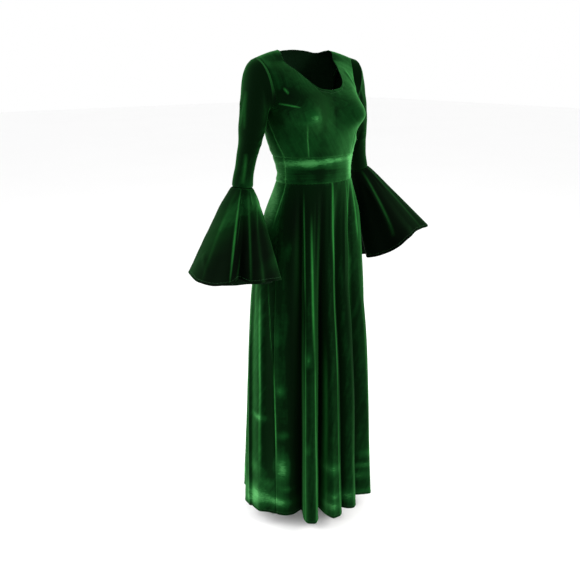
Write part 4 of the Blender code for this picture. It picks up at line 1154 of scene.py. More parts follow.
BLACK = (0.0, 0.0, 0.0, 1.0)
NOISE_MIDDLE = 0.5              # a noise's own middle value
STROKES = (0.7, 0.7, 2.4)       # the crushed pile's strokes run level
CRUSH_EDGE = (0.36, 1.00)       # where the pile starts to be crushed, and where it is so throughout, on a nap value that holds painted highlights too
NAP_AND_LIGHT_LIFT, CRUSH_AND_HIGHLIGHT_LIFT = 0.45, 0.25   # how much brushed and crushed pile lighten the cloth, painted highlights among them
PILE_SHARE, STROKE_SHARE = 0.5, 0.5     # the two parts of the pile's height
DEEP_SOFTNESS, TIP_SOFTNESS = 0.35, 0.45    # roughness of the sheen on deep pile and on its tips
TIP_SHEEN = 0.25
PAINTED_GLEAM_BASE = 0.5                   # how light a painted highlight line is where no streak crosses it
WALE_SHARE, COURSE_SHARE = 0.6, 0.4     # the two parts of the backing's height
TWISTS = 2600.0                 # changes of the thread's tone in a metre
FLOOR_COLOR = (0.97, 0.97, 0.97)
FLOOR_TINT = (0.95, 0.95, 0.95)
FLOOR_CLOUD = 0.8               # changes of its tone in a metre


class Wire:
    """A value in a node tree: arithmetic on it adds Math nodes."""

    def __init__(self, tree, socket):
        self.tree, self.socket = tree, socket

    def math(self, operation, first, second=0.0):
        return self.tree.add("ShaderNodeMath", {"operation": operation}, {0: first, 1: second})

    def __add__(self, other):
        return self.math("ADD", self, other)

    __radd__ = __add__

    def __sub__(self, other):
        return self.math("SUBTRACT", self, other)

    def __rsub__(self, other):
        return self.math("SUBTRACT", other, self)

    def __mul__(self, other):
        return self.math("MULTIPLY", self, other)

    __rmul__ = __mul__

    def __pow__(self, other):
        return self.math("POWER", self, other)

    def clamped(self):
        return self.tree.add("ShaderNodeClamp", {}, {"Value": self})


class Tree:
    """A node tree that is built one node at a time."""

    def __init__(self, nodes_of):
        self.tree = nodes_of

    def add(self, kind, settings=None, sockets=None, output=0):
        """Adds a node: its settings first, then its sockets. Returns one of its outputs."""
        node = self.tree.nodes.new(kind)
        for name, value in (settings or {}).items():
            setattr(node, name, value)
        for name, value in (sockets or {}).items():
            if isinstance(value, Wire):
                self.tree.links.new(value.socket, node.inputs[name])
            else:
                node.inputs[name].default_value = value
        return Wire(self, node.outputs[output])

    def on_cloth(self):
        """The piece's UV map, in metres."""
        return self.add("ShaderNodeTexCoord", output=2)

    def on_piece(self):
        """The place on the object, in metres."""
        return self.add("ShaderNodeTexCoord", output=3)

    def mark(self, name):
        """One of the values that the mesh's points carry."""
        return self.add("ShaderNodeAttribute", {"attribute_name": name}, output=2)

    def noise(self, where, scale, detail=3.0, roughness=0.55, distortion=0.0):
        sockets = {"Vector": where, "Scale": scale, "Detail": detail, "Roughness": roughness}
        return self.add("ShaderNodeTexNoise", {}, sockets | {"Distortion": distortion})

    def stretched(self, where, scale):
        """Coordinates that are stretched by a Mapping node."""
        return self.add("ShaderNodeMapping", {}, {"Vector": where, "Scale": scale})

    def rise(self, value, low, high):
        """From 0 to 1 while a value goes from low to high, with soft ends."""
        settings = {"interpolation_type": "SMOOTHSTEP"}
        return self.add("ShaderNodeMapRange", settings, {"Value": value, "From Min": low, "From Max": high})

    def blend(self, share, first, second):
        """One colour turning into another."""
        settings = {"data_type": "RGBA"}
        return self.add("ShaderNodeMix", settings, {0: share, 6: first, 7: second}, output=2)

    def bump(self, height, strength, distance):
        sockets = {"Height": height, "Strength": strength, "Distance": distance}
        return self.add("ShaderNodeBump", {}, sockets)

    def principled(self, color, roughness, specular, normal, sheen=()):
        """A surface. Its sheen, if it has one, is a weight, a roughness and a tint."""
        sockets = {"Base Color": color, "Roughness": roughness, "Specular IOR Level": specular}
        sockets |= zip(("Sheen Weight", "Sheen Roughness", "Sheen Tint"), sheen)
        return self.add("ShaderNodeBsdfPrincipled", {}, sockets | {"Normal": normal})

    def finish(self, surface):
        """Sends a shader to the material's output."""
        output = self.tree.nodes.new("ShaderNodeOutputMaterial")
        self.tree.links.new(surface.socket, output.inputs["Surface"])


def opaque(color):
    return (*color, 1.0)


def new_material(name, color):
    material = bpy.data.materials.new(name)
    material.use_nodes = True
    material.node_tree.nodes.clear()
    material.diffuse_color = opaque(color)
    return material, Tree(material.node_tree)


def velvet(name, look, streaks):
    """Velvet whose pile is dark when looked into, and light across its tips and where it is brushed, with
    painted light on fold crests, painted shade in fold hollows and painted highlight lines.
    """
    material, tree = new_material(name, look.pile_deep)
    place, cloth = tree.on_piece(), tree.on_cloth()
    # The pile's mark holds painted highlights and painted shade as well as the pile's lie; the line mark is
    # painted highlight
    brushed_and_painted_light, fold, gleam = tree.mark("nap"), tree.mark("fold"), tree.mark("gleam")
    cloud = tree.noise(place, look.cloud_scale, detail=2.0)
    mottle = tree.noise(place, look.mottle_scale, detail=4.0, roughness=0.6, distortion=0.6)
    drag = tree.noise(tree.stretched(cloth, streaks), scale=1.0, roughness=0.6)
    strokes = tree.noise(
        tree.stretched(place, STROKES), look.crush_scale, detail=6.0, roughness=0.62, distortion=1.6
    )
    pile = tree.noise(place, look.pile_scale, detail=2.0)
    # Crushed pile, with the painted highlights of the pile's mark among it
    crushed_and_painted_light = tree.rise(brushed_and_painted_light + (strokes - NOISE_MIDDLE) * look.ragged, *CRUSH_EDGE)
    uneven = (cloud - NOISE_MIDDLE) * look.cloud + (mottle - NOISE_MIDDLE) * look.mottle
    uneven = uneven + (drag - NOISE_MIDDLE) * look.drag
    # The base tone holds painted light: lighter fold crests, and the painted highlights and shade of the
    # pile's mark
    lift = look.ground + brushed_and_painted_light * NAP_AND_LIGHT_LIFT + crushed_and_painted_light * CRUSH_AND_HIGHLIGHT_LIFT + fold * look.fold_painted_light + uneven
    lift = lift.clamped()
    # Painted shade in the hollows of folds
    painted_hollow = (fold * -1.0).clamped()
    bump = tree.bump(pile * PILE_SHARE + strokes * STROKE_SHARE, strength=0.25, distance=0.0006)
    facing = tree.add("ShaderNodeLayerWeight", {}, {"Blend": 0.5, "Normal": bump}, output=1)
    # The rim is darkened in fold hollows: painted shade
    rim = facing**look.tip_power * (look.tip_strength + lift) * (1.0 - painted_hollow * look.painted_hollow_shade)
    # Painted highlight lines are added to the rim
    rim = rim * (1.0 + brushed_and_painted_light * look.nap_and_light_tone) + gleam * (PAINTED_GLEAM_BASE + drag) * look.painted_gleam_strength
    tips = (rim + crushed_and_painted_light * look.crush_and_highlight_strength).clamped()
    ground = tree.blend(lift, opaque(look.pile_deep), opaque(look.pile_middle))
    # Painted shade: where the pile's mark is below 0 the base colour turns towards black
    against_and_shaded = (brushed_and_painted_light * -look.against_and_painted_shade).clamped()
    deep_sheen = (look.sheen, DEEP_SOFTNESS, opaque(look.pile_middle))
    deep = tree.principled(
        tree.blend(against_and_shaded, ground, BLACK), roughness=0.8, specular=0.02, normal=bump, sheen=deep_sheen
    )
    tip_color = tree.blend(lift, opaque(look.pile_tips), opaque(look.pile_light))
    tip_sheen = (TIP_SHEEN, TIP_SOFTNESS, opaque(look.pile_light))
    light = tree.principled(tip_color, roughness=0.7, specular=0.05, normal=bump, sheen=tip_sheen)
    tree.finish(tree.add("ShaderNodeMixShader", {}, {0: tips, 1: deep, 2: light}))
    return material


def knit_backing(name, look):
    """The plain knitted back of the velvet, seen inside the neck and the bells."""
    material, tree = new_material(name, look.backing)
    cloth = tree.on_cloth()
    ribs = {"Vector": cloth, "Scale": look.knit_scale}
    wales, courses = (tree.add("ShaderNodeTexWave", {"bands_direction": way}, ribs, output=1) for way in "XY")
    cloud = tree.noise(tree.on_piece(), look.mottle_scale)
    shade = tree.blend(cloud, opaque(look.pile_deep), opaque(look.backing))
    bump = tree.bump(wales * WALE_SHARE + courses * COURSE_SHARE, strength=0.3, distance=0.0003)
    tree.finish(tree.principled(shade, roughness=0.85, specular=0.05, normal=bump))
    return material


def sewing_thread(name, look):
    """Matt green polyester thread with a faint twist."""
    material, tree = new_material(name, look.thread)
    twist = tree.noise(tree.on_piece(), TWISTS, detail=1.0)
    shade = tree.blend(twist, opaque(look.thread), opaque(look.pile_middle))
    bump = tree.bump(twist, strength=0.3, distance=0.0001)
    tree.finish(tree.principled(shade, roughness=0.55, specular=0.35, normal=bump))
    return material


def pale_floor(name):
    """Smooth painted studio floor."""
    material, tree = new_material(name, FLOOR_COLOR)
    cloud = tree.noise(tree.on_piece(), FLOOR_CLOUD, detail=2.0)
    shade = tree.blend(cloud, opaque(FLOOR_COLOR), opaque(FLOOR_TINT))
    tree.finish(tree.add("ShaderNodeBsdfPrincipled", {}, {"Base Color": shade, "Roughness": 0.85}))
    return material


# The gown's finishes: what makes each, and the way the velvet's streaks run
FINISHES = {
    "velvet_upright": (velvet, (70.0, 5.0, 1.0)),
    "velvet_crosswise": (velvet, (7.0, 160.0, 1.0)),
    "velvet_backing": (knit_backing,),
    "sewing_thread": (sewing_thread,),
}


def finish_of(name, look):
    """A finish that several pieces share: made once."""
    make, *streaks = FINISHES[name]
    return bpy.data.materials.get(name) or make(name, look, *streaks)


# ---------------------------------------------------------------- settings


def color(name, description, default):
    return bpy.props.FloatVectorProperty(
        name=name, description=description, default=default, subtype="COLOR", size=3, min=0, max=1
    )


def length(name, description, default):
    return bpy.props.FloatProperty(
        name=name, description=description, default=default, unit="LENGTH", min=0, precision=5
    )


def number(name, description, default):
    return bpy.props.FloatProperty(name=name, description=description, default=default, min=0)


class GownCloth(bpy.types.PropertyGroup):
    """Sizes of the cloth's sewing and creases."""

    seam_dip: length("Seam Dip", "Depth of the groove beside a seam", 0.0016)
    hem_rise: length("Hem Rise", "How far a doubled hem stands proud", 0.0004)
    stitch_dent: length("Stitch Dent", "Depth of the dent along a line of stitches", 0.0006)
    pucker: length("Pucker", "Height of the small gathers beside a seam", 0.0005)
    crease: number("Crease", "Strength of the creases placed by hand", 1.0)
    slack: length("Slack", "Height of the cloth's slow unevenness", 0.0009)


class GownVelvet(bpy.types.PropertyGroup):
    """Colours and pile of the velvet."""

    pile_deep: color("Deep", "Pile looked straight into", (0.0001, 0.0060, 0.0007))
    pile_middle: color("Middle", "Pile seen at a slant", (0.0070, 0.0850, 0.0150))
    pile_tips: color("Tips", "Tips of the pile", (0.0140, 0.1500, 0.0230))
    pile_light: color("Light", "Crushed pile", (0.1000, 0.3600, 0.1150))
    backing: color("Backing", "Knitted back of the cloth", (0.0020, 0.0120, 0.0036))
    thread: color("Thread", "Sewing thread", (0.0070, 0.0480, 0.0130))
    ground: number("Ground", "How light the pile is where nothing brushes it", 0.10)
    sheen: number("Sheen", "Sheen of the deep pile", 0.06)
    tip_power: number("Tip Power", "How narrow the light rim of a fold is", 2.1)
    tip_strength: number("Tip Strength", "How light the rim of a fold is", 0.70)
    # Painted highlight on fold crests
    fold_painted_light: number("Fold Tone", "How much lighter a fold's crest is", 0.12)
    # Painted shade in fold hollows
    painted_hollow_shade: number("Hollow Shade", "How much darker the hollow of a fold is", 0.88)
    # Changes the rims by the pile's mark, painted light and shade included
    nap_and_light_tone: number("Nap Tone", "How much the pile's lie changes the rims", 0.8)
    # Lightens crushed pile and the painted highlights of the pile's mark
    crush_and_highlight_strength: number("Brushed Strength", "How light the crushed pile is", 0.34)
    # Painted shade: pile marked below 0 turns towards black
    against_and_painted_shade: number("Against Shade", "How much darker the pile is against the brush", 0.8)
    # Strength of the painted highlight lines
    painted_gleam_strength: number("Gleam Strength", "How light the lines are where the pile parts", 1.0)
    ragged: number("Ragged", "How ragged a crushed patch's edge is", 1.2)
    cloud: number("Cloud", "Strength of the broad changes", 0.30)
    mottle: number("Mottle", "Strength of the small patches", 0.22)
    drag: number("Drag", "Strength of the long brushed streaks", 0.34)
    crush_scale: number("Crush Scale", "Strokes of crushed pile in a metre", 64.0)
    cloud_scale: number("Cloud Scale", "Broad changes in a metre", 7.0)
    mottle_scale: number("Mottle Scale", "Small patches in a metre", 60.0)
    pile_scale: number("Pile Scale", "Tufts in a metre", 1100.0)
    knit_scale: number("Knit Scale", "Ribs of the backing, as a wave's scale", 140.0)


class GownStitches(bpy.types.PropertyGroup):
    """Sizes of the hem stitches."""

    stitch: length("Stitch", "Length of one stitch", 0.0028)
    gap: length("Gap", "Cloth between two stitches", 0.0012)
    thick: length("Thread", "Thickness of the thread", 0.00055)


class GownStudio(bpy.types.PropertyGroup):
    """The studio's sizes and lights."""

    floor_drop: length("Floor Drop", "The floor below the lowest hem", 0.05)
    floor_size: length("Floor Size", "Side of the square floor", 40.0)
    sky: number("Sky", "Strength of the even studio light", 1.0)
    key: number("Key", "Power of the large light on the camera's right, in watts", 90.0)
    rim: number("Rim", "Power of the light behind on the left, in watts", 60.0)
    fill: number("Fill", "Power of the light on the camera's left, in watts", 12.0)


class GownSettings(bpy.types.PropertyGroup):
    """All that a user of the gown may change."""

    cloth: bpy.props.PointerProperty(type=GownCloth, name="Cloth", description="Sewing and creases")
    velvet: bpy.props.PointerProperty(type=GownVelvet, name="Velvet", description="Colours and pile")
    stitches: bpy.props.PointerProperty(type=GownStitches, name="Stitches", description="Hem stitches")
    studio: bpy.props.PointerProperty(type=GownStudio, name="Studio", description="Floor and lights")


# ---------------------------------------------------------------- stitches

BEAD_RADIUS, BEAD_SUBDIVISIONS = 0.5, 2     # a stitch before it is scaled to its size


def stitch_tree(thread):
    """Geometry Nodes: a line of stitches of thread, laid along every edge of the mesh that it is on."""
    tree = bpy.data.node_groups.new("hem_stitches", "GeometryNodeTree")
    face = tree.interface
    face.new_socket("Geometry", in_out="INPUT", socket_type="NodeSocketGeometry")
    for name in ("Stitch", "Gap", "Thread"):
        face.new_socket(name, in_out="INPUT", socket_type="NodeSocketFloat")
    face.new_socket("Geometry", in_out="OUTPUT", socket_type="NodeSocketGeometry")
    nodes = Tree(tree)
    group = tree.nodes.new("NodeGroupInput")
    line, stitch, gap, thick = (Wire(nodes, socket) for socket in group.outputs[:4])
    curve = nodes.add("GeometryNodeMeshToCurve", {}, {"Mesh": line})
    stops = nodes.add(
        "GeometryNodeResampleCurve", {"mode": "LENGTH"}, {"Curve": curve, "Length": stitch + gap}
    )
    bead = nodes.add(
        "GeometryNodeMeshIcoSphere", {}, {"Radius": BEAD_RADIUS, "Subdivisions": BEAD_SUBDIVISIONS}
    )
    size = nodes.add("ShaderNodeCombineXYZ", {}, {"X": thick, "Y": thick, "Z": stitch})
    bead = nodes.add("GeometryNodeTransform", {}, {"Geometry": bead, "Scale": size})
    along = nodes.add("GeometryNodeInputTangent")
    turn = nodes.add("FunctionNodeAlignRotationToVector", {"axis": "Z"}, {"Vector": along})
    laid = nodes.add(
        "GeometryNodeInstanceOnPoints", {}, {"Points": stops, "Instance": bead, "Rotation": turn}
    )
    real = nodes.add("GeometryNodeRealizeInstances", {}, {"Geometry": laid})
    real = nodes.add("GeometryNodeSetShadeSmooth", {}, {"Geometry": real})
    done = nodes.add("GeometryNodeSetMaterial", {}, {"Geometry": real, "Material": thread})
    output = tree.nodes.new("NodeGroupOutput")
    tree.links.new(done.socket, output.inputs[0])
    return tree


def lay_stitches(name, line, closed, sizes, thread):
    """One plain mesh of the stitches along a line of points. A closed line meets itself."""
    joins = [(i, i + 1) for i in range(len(line) - 1)]
    if closed:
        joins.append((len(line) - 1, 0))
    guide_mesh = bpy.data.meshes.new(name + "_line")
    guide_mesh.from_pydata(line.tolist(), joins, [])
    guide = added(name + "_line", guide_mesh)
    tree = stitch_tree(thread)
    modifier = guide.modifiers.new("stitches", "NODES")
    modifier.node_group = tree
    sockets = {item.name: item.identifier for item in tree.interface.items_tree if item.in_out == "INPUT"}
    for label, value in (("Stitch", sizes.stitch), ("Gap", sizes.gap), ("Thread", sizes.thick)):
        modifier[sockets[label]] = value
    bpy.context.view_layer.update()
    evaluated = guide.evaluated_get(bpy.context.evaluated_depsgraph_get())
    mesh = bpy.data.meshes.new_from_object(evaluated)
    guide.modifiers.clear()
    bpy.data.objects.remove(guide, do_unlink=True)
    if len(mesh.polygons) == 0:
        raise RuntimeError(f"{name}: no stitch was laid")
    mesh.name = name
    return added(name, mesh)


# ---------------------------------------------------------------- pieces

# What each piece was cut to: a rectangle that holds it flat, its area, how it is held and what it
# hangs from. The seed sets its unevenness apart from the others'.
Cut = namedtuple("Cut", "flat area held rests_on seed")
CUTS = {
    "bodice_front": Cut((0.46, 0.32), 0.105, "stretched", ("bodice_back",), 11),
    "bodice_back": Cut((0.40, 0.33), 0.110, "stretched", ("bodice_front",), 31),
    "waistband_front": Cut((0.32, 0.075), None, "stretched", ("bodice_front",), 51),
    "waistband_back": Cut((0.38, 0.075), None, "stretched", ("bodice_back",), 61),
    "skirt_front": Cut((0.80, 1.04), 0.535, "hung", ("waistband_front",), 71),
    "skirt_back": Cut((1.06, 1.04), 0.720, "hung", ("waistband_back",), 81),
    "sleeve_right": Cut((0.36, 0.46), 0.065, "stretched", ("bodice_front", "bodice_back"), 91),
    "sleeve_left": Cut((0.36, 0.46), 0.062, "stretched", ("bodice_front", "bodice_back"), 101),
    "bell_right": Cut((0.55, 0.40), 0.128, "hung", ("sleeve_right",), 111),
    "bell_left": Cut((0.55, 0.38), 0.120, "hung", ("sleeve_left",), 121),
}
# Added to a piece's seed, so that each part of its relief draws its own waves
SECOND_SEAM, LOWER_SEAM, DRAG, HEM_GATHERS, SLACK = 1, 2, 5, 7, 8

# How light the pile of each kind of piece lies; the sleeves' and bells' low values are painted shade as well
# as the pile's lie
BODICE_NAP, BAND_NAP, SKIRT_NAP, SLEEVE_NAP_AND_SHADE, BELL_NAP_AND_SHADE = 0.10, 0.10, -0.15, -0.42, -0.92

# How long the waves of slack cloth are in each kind of piece
BODICE_SLACK, SKIRT_SLACK, SLEEVE_SLACK, BELL_SLACK = 0.07, 0.12, 0.06, 0.08

# The waistband's drags: the size of a wave, how its length counts (below 1 draws it out) and its height
BAND_WAVE, BAND_DRAG, BAND_CREASE = 0.016, 0.12, 0.0009

# A point inside each kind of piece, on the wearer's left where there are two
BODICE_INSIDE, BAND_INSIDE, SKIRT_INSIDE = (0, 0, -0.2), (0, 0, -0.33), (0, 0, -0.9)
SLEEVE_INSIDE, BELL_INSIDE = (0.19, 0.01, -0.2), (0.27, -0.02, -0.5)

# About how long each run of rows or columns is, from seam to seam or from seam to hem
SHOULDER_SPAN, SIDE_SEAM_SPAN, ARMHOLE_SPAN = 0.075, 0.140, 0.240
BAND_SPAN, SLEEVE_SPAN, BELL_SPAN = 0.33, 0.30, 0.21
SIDE_COLUMNS = np.array([0.02, 0.05, 0.08])   # added fold steps beside the skirt's side seams

SIDE_PAINTED_GLEAM, SIDE_LINE = 0.25, 0.0012    # strength and width of the painted highlight line beside a side seam
NECK_FADE = 0.02        # the share of the upper edge over which the shoulder's seam turns into a hem
ARMHOLE_DIP = 0.2       # the share of a seam's groove that the armhole has
FAR = 1.0               # stands for an edge that a point is nowhere near


def coated(piece, *materials):
    for material in materials:
        piece.data.materials.append(material)


def hand_over(piece, node, stitches):
    """Hangs a piece and its stitches from the root and hides its solid."""
    for part in (piece, *stitches):
        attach(part, "root")
    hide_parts(node)


def dress(settings, node, form, nap, hem=None, pile="velvet_upright", closed=False, **sides):
    """Makes one piece: its cloth, its finish and the stitches of its hem, if it has one. form is its
    surface, columns, rows, a point inside it and its relief. hem is the grid's side that the hem lies
    on, its name and the part of that side that it takes.
    """
    look = settings.velvet
    piece, grid, outer = shell(node + "_cloth", *form, nap, closed=closed, **sides)
    coated(piece, finish_of(pile, look), finish_of("velvet_backing", look))
    stitches = []
    if hem:
        side, label, part = hem
        line = line_at(grid, outer, side, HEM_DEPTH)[part]
        thread = finish_of("sewing_thread", look)
        name = f"{node}_{label}_stitches"
        stitches.append(lay_stitches(name, line, closed, settings.stitches, thread))
    hand_over(piece, node, stitches)


def sewing(grid, sides, cloth, seed):
    """Grooves and puckers beside the named sewn sides."""
    height = 0.0
    for index, side in enumerate(sides):
        distance = getattr(grid, side)
        along = grid.bottom if side in ("left", "right") else grid.left
        height = height + seam_dip(distance, cloth) + pucker(distance, along, cloth, seed + index)
    return height


def slack(grid, cloth, size, seed):
    """The slow unevenness of cloth that nothing pulls quite flat."""
    across = grid.points[..., 0] + grid.points[..., 1]
    return cloth.slack * ripple(across, grid.points[..., 2], size, seed + SLACK)


def painted_side_gleam(grid):
    """The painted highlight line beside a side seam."""
    return SIDE_PAINTED_GLEAM * (hump(grid.left - SIDE_LINE, SIDE_LINE) + hump(grid.right - SIDE_LINE, SIDE_LINE))


def make_bodice(settings, side, neck, creases, painted_gleams):
    """Makes the front or the back of the bodice."""
    cloth, node = settings.cloth, "bodice_" + side
    seed = CUTS[node].seed
    path, marks = bodice_top_path(side, neck)
    shoulder = graded(0, marks[1], SHOULDER_COLUMNS, SHOULDER_SPAN, start=SEAM_ROWS)[:-1]
    half = 1 - np.concatenate([shoulder, np.linspace(marks[1], 1, NECK_COLUMNS + 1)])
    columns = np.concatenate([-half, half[:-1][::-1]])
    below = graded(0, UNDERARM_ROW, BODICE_STEPS, SIDE_SEAM_SPAN, start=SEAM_ROWS)[:-1]
    angles = graded(0, math.pi, ARMHOLE_STEPS, ARMHOLE_SPAN, start=HEM_ROWS)
    rows = np.concatenate([below, armhole_rows(angles[::-1])])
    seam_rows, shoulder_columns = len(below) + 1, len(shoulder) + 1
    shared = (
        (np.s_[:seam_rows, 0], "left", (-1, 0, 0)),
        (np.s_[:seam_rows, -1], "right", (1, 0, 0)),
        (np.s_[-1, :shoulder_columns], "top", (0, 0, 1)),
        (np.s_[-1, -shoulder_columns:], "top", (0, 0, 1)),
    )
    at_armhole = (np.arange(len(rows)) >= seam_rows)[:, None]
    neck_share = np.clip((1 - np.abs(columns) - marks[1]) / NECK_FADE, 0, 1)[None, :]

    def relief(grid):
        height = sewing(grid, ("left", "right"), cloth, seed) * np.where(at_armhole, ARMHOLE_DIP, 1.0)
        height += sewing(grid, ("bottom",), cloth, seed + LOWER_SEAM)
        height += seam_dip(grid.top, cloth) * (1 - neck_share) + turned_hem(grid.top, cloth) * neck_share
        height += pucker(grid.top - HEM_DEPTH, grid.left, cloth, seed + HEM_GATHERS) * neck_share
        height += crease_relief(grid, creases) * cloth.crease + slack(grid, cloth, BODICE_SLACK, seed)
        # Painted highlight lines along the darts and beside the side seams
        gleam = crease_relief(grid, painted_gleams) + np.where(at_armhole, 0, painted_side_gleam(grid))
        return height, np.where(neck_share > 0, grid.top, FAR), gleam

    form = (bodice_surface(side, path, marks), columns, rows, BODICE_INSIDE, relief)
    neckline = ("top", "neck", np.s_[shoulder_columns:-shoulder_columns])
    sewn = "left right bottom"
    dress(settings, node, form, BODICE_NAP, neckline, seams=sewn, turned=sewn, shared=shared)


class GOWN_OT_bodice(bpy.types.Operator):
    """Makes the front and back of the bodice with their darts, creases and stitched neckline"""

    bl_idname = "gown.bodice"
    bl_label = "Bodice"

    def execute(self, context):
        settings = context.scene.gown
        make_bodice(settings, "front", FRONT_NECK, BODICE_FRONT_CREASES, BODICE_PAINTED_GLEAMS)
        make_bodice(settings, "back", BACK_NECK, BODICE_BACK_CREASES, [])
        return {"FINISHED"}


class GOWN_OT_waistband(bpy.types.Operator):
    """Makes the two halves of the waistband"""

    bl_idname = "gown.waistband"
    bl_label = "Waistband"

    def execute(self, context):
        settings = context.scene.gown
        cloth = settings.cloth
        rows = graded(BAND_BOTTOM, BAND_TOP, BAND_STEPS, BAND_TOP - BAND_BOTTOM, SEAM_ROWS, SEAM_ROWS)
        halves = (
            ("waistband_front", -SIDE_SEAM, SIDE_SEAM),
            ("waistband_back", SIDE_SEAM, 2 * math.pi - SIDE_SEAM),
        )
        for node, start, end in halves:
            columns = graded(start, end, BAND_COLUMNS, BAND_SPAN, SEAM_ROWS, SEAM_ROWS)

            def relief(grid, seed=CUTS[node].seed):
                height = sewing(grid, ("left", "right", "bottom", "top"), cloth, seed)
                drags = ripple(grid.left * BAND_DRAG, grid.bottom, BAND_WAVE, seed + DRAG)
                # Painted highlight lines beside the side seams
                return height + BAND_CREASE * cloth.crease * drags, FAR + 0 * grid.top, painted_side_gleam(grid)

            form = (band_point, columns, rows, BAND_INSIDE, relief)
            sewn = "left right bottom top"
            dress(settings, node, form, BAND_NAP, pile="velvet_crosswise", seams=sewn, turned=sewn)
        return {"FINISHED"}


class GOWN_OT_skirt(bpy.types.Operator):
    """Makes the front and back of the skirt with their falling folds and stitched hem"""

    bl_idname = "gown.skirt"
    bl_label = "Skirt"

    def execute(self, context):
        settings = context.scene.gown
        cloth = settings.cloth
        drop = BAND_BOTTOM - HEM_HEIGHT
        heights = graded(BAND_BOTTOM, HEM_HEIGHT, SKIRT_STEPS, drop, SEAM_ROWS, HEM_ROWS)[::-1]
        right_seam = len(RIGHT_BACK_FOLDS)
        left_seam = right_seam + len(FRONT_FOLDS)
        round_back = right_seam + len(SKIRT_FOLDS)
        panels = (("skirt_front", right_seam, left_seam), ("skirt_back", left_seam, round_back))
        for node, start, end in panels:
            between = np.linspace(start, end, (end - start) * FOLD_STEPS + 1)[1:-1]
            near_start, near_end = start + SIDE_COLUMNS, end - SIDE_COLUMNS[::-1]
            columns = np.concatenate([[start], near_start, between, near_end, [end]])

            def relief(grid, seed=CUTS[node].seed):
                height = sewing(grid, ("left", "right", "top"), cloth, seed)
                height += turned_hem(grid.bottom, cloth)
                height += pucker(grid.bottom - HEM_DEPTH, grid.left, cloth, seed + HEM_GATHERS)
                height += fall_relief(grid.points, SKIRT_FALLS) * cloth.crease
                height += slack(grid, cloth, SKIRT_SLACK, seed)
                # Painted highlight lines along the folds' edges
                return height, grid.bottom, fall_relief(grid.points, SKIRT_PAINTED_GLEAMS)

            form = (skirt_surface, columns, heights, SKIRT_INSIDE, relief)
            hem = ("bottom", "hem", np.s_[:])
            dress(settings, node, form, SKIRT_NAP, hem, seams="left right top", turned="top")
        return {"FINISHED"}


class GOWN_OT_sleeves(bpy.types.Operator):
    """Makes the two fitted sleeves with the creases at the elbow and the armhole"""

    bl_idname = "gown.sleeves"
    bl_label = "Sleeves"

    def execute(self, context):
        settings = context.scene.gown
        cloth = settings.cloth
        angles = np.linspace(0, 2 * math.pi, SLEEVE_COLUMNS + 1)[:-1]
        sides = (
            ("sleeve_right", -1, RIGHT_SLEEVE, RIGHT_SLEEVE_CREASES),
            ("sleeve_left", 1, LEFT_SLEEVE, LEFT_SLEEVE_CREASES),
        )
        for node, mirror, rows, creases in sides:
            rings = graded(0, len(rows), SLEEVE_STEPS, SLEEVE_SPAN, SEAM_ROWS, SEAM_ROWS)

            def relief(grid, seed=CUTS[node].seed, creases=creases):
                height = sewing(grid, ("bottom",), cloth, seed) * ARMHOLE_DIP
                height += sewing(grid, ("top",), cloth, seed + SECOND_SEAM)
                height += crease_relief(grid, creases) * cloth.crease
                height += slack(grid, cloth, SLEEVE_SLACK, seed)
                # Painted highlight lines down the sleeves
                return height, FAR + 0 * grid.top, crease_relief(grid, SLEEVE_PAINTED_GLEAMS)

            inside = np.array(SLEEVE_INSIDE) * (mirror, 1, 1)
            form = (sleeve_surface(mirror, rows), angles, rings, inside, relief)
            dress(settings, node, form, SLEEVE_NAP_AND_SHADE, turned="bottom top", closed=True)
        return {"FINISHED"}


class GOWN_OT_bells(bpy.types.Operator):
    """Makes the two bells at the sleeves' ends with their flutes and stitched hems"""

    bl_idname = "gown.bells"
    bl_label = "Bells"

    def execute(self, context):
        settings = context.scene.gown
        cloth = settings.cloth
        steps = graded(0, 1, BELL_STEPS, BELL_SPAN, SEAM_ROWS, HEM_ROWS)
        sides = (
            ("bell_right", -1, RIGHT_SLEEVE[-1], RIGHT_BELL_FOLDS, RIGHT_BELL_POSE),
            ("bell_left", 1, LEFT_SLEEVE[-1], LEFT_BELL_FOLDS, LEFT_BELL_POSE),
        )
        for node, mirror, cuff, folds, pose in sides:
            columns = np.linspace(0, len(folds), len(folds) * BELL_FOLD_STEPS + 1)[:-1]

            def relief(grid, seed=CUTS[node].seed):
                height = sewing(grid, ("bottom",), cloth, seed) + turned_hem(grid.top, cloth)
                height += crease_relief(grid, RIGHT_BELL_CREASES + LEFT_BELL_CREASES) * cloth.crease
                height += slack(grid, cloth, BELL_SLACK, seed)
                # Painted highlight lines, and one painted shade line, on the bells
                return height, grid.top, crease_relief(grid, RIGHT_BELL_PAINTED_GLEAMS + LEFT_BELL_PAINTED_GLEAMS)

            inside = np.array(BELL_INSIDE) * (mirror, 1, 1)
            form = (bell_surface(mirror, cuff, folds, pose), columns, steps, inside, relief)
            dress(settings, node, form, BELL_NAP_AND_SHADE, ("top", "hem", np.s_[:]), turned="bottom", closed=True)
        return {"FINISHED"}


# ---------------------------------------------------------------- studio

CAMERA_PLACE = (-1.318, -1.570, -0.026)
CAMERA_AIM, CAMERA_PITCH = math.radians(38.53), math.radians(18.1)
CAMERA_LENS, CAMERA_FILM = 43.51, 36.0

# Large soft lights: where each stands, what it looks at and its two sides
Softbox = namedtuple("Softbox", "setting place target width height color")
SOFTBOXES = table(
    Softbox,
    ("key", (1.5, -2.2, 0.9), (0, 0, -0.75), 1.6, 2.0, (1.0, 0.99, 0.97)),
    ("rim", (-2.1, 0.9, 0.4), (0, 0, -0.8), 1.0, 2.2, (1.0, 1.0, 1.0)),
    ("fill", (-2.2, -2.0, 0.2), (0, 0, -0.7), 2.0, 2.0, (0.98, 0.99, 1.0)),
)


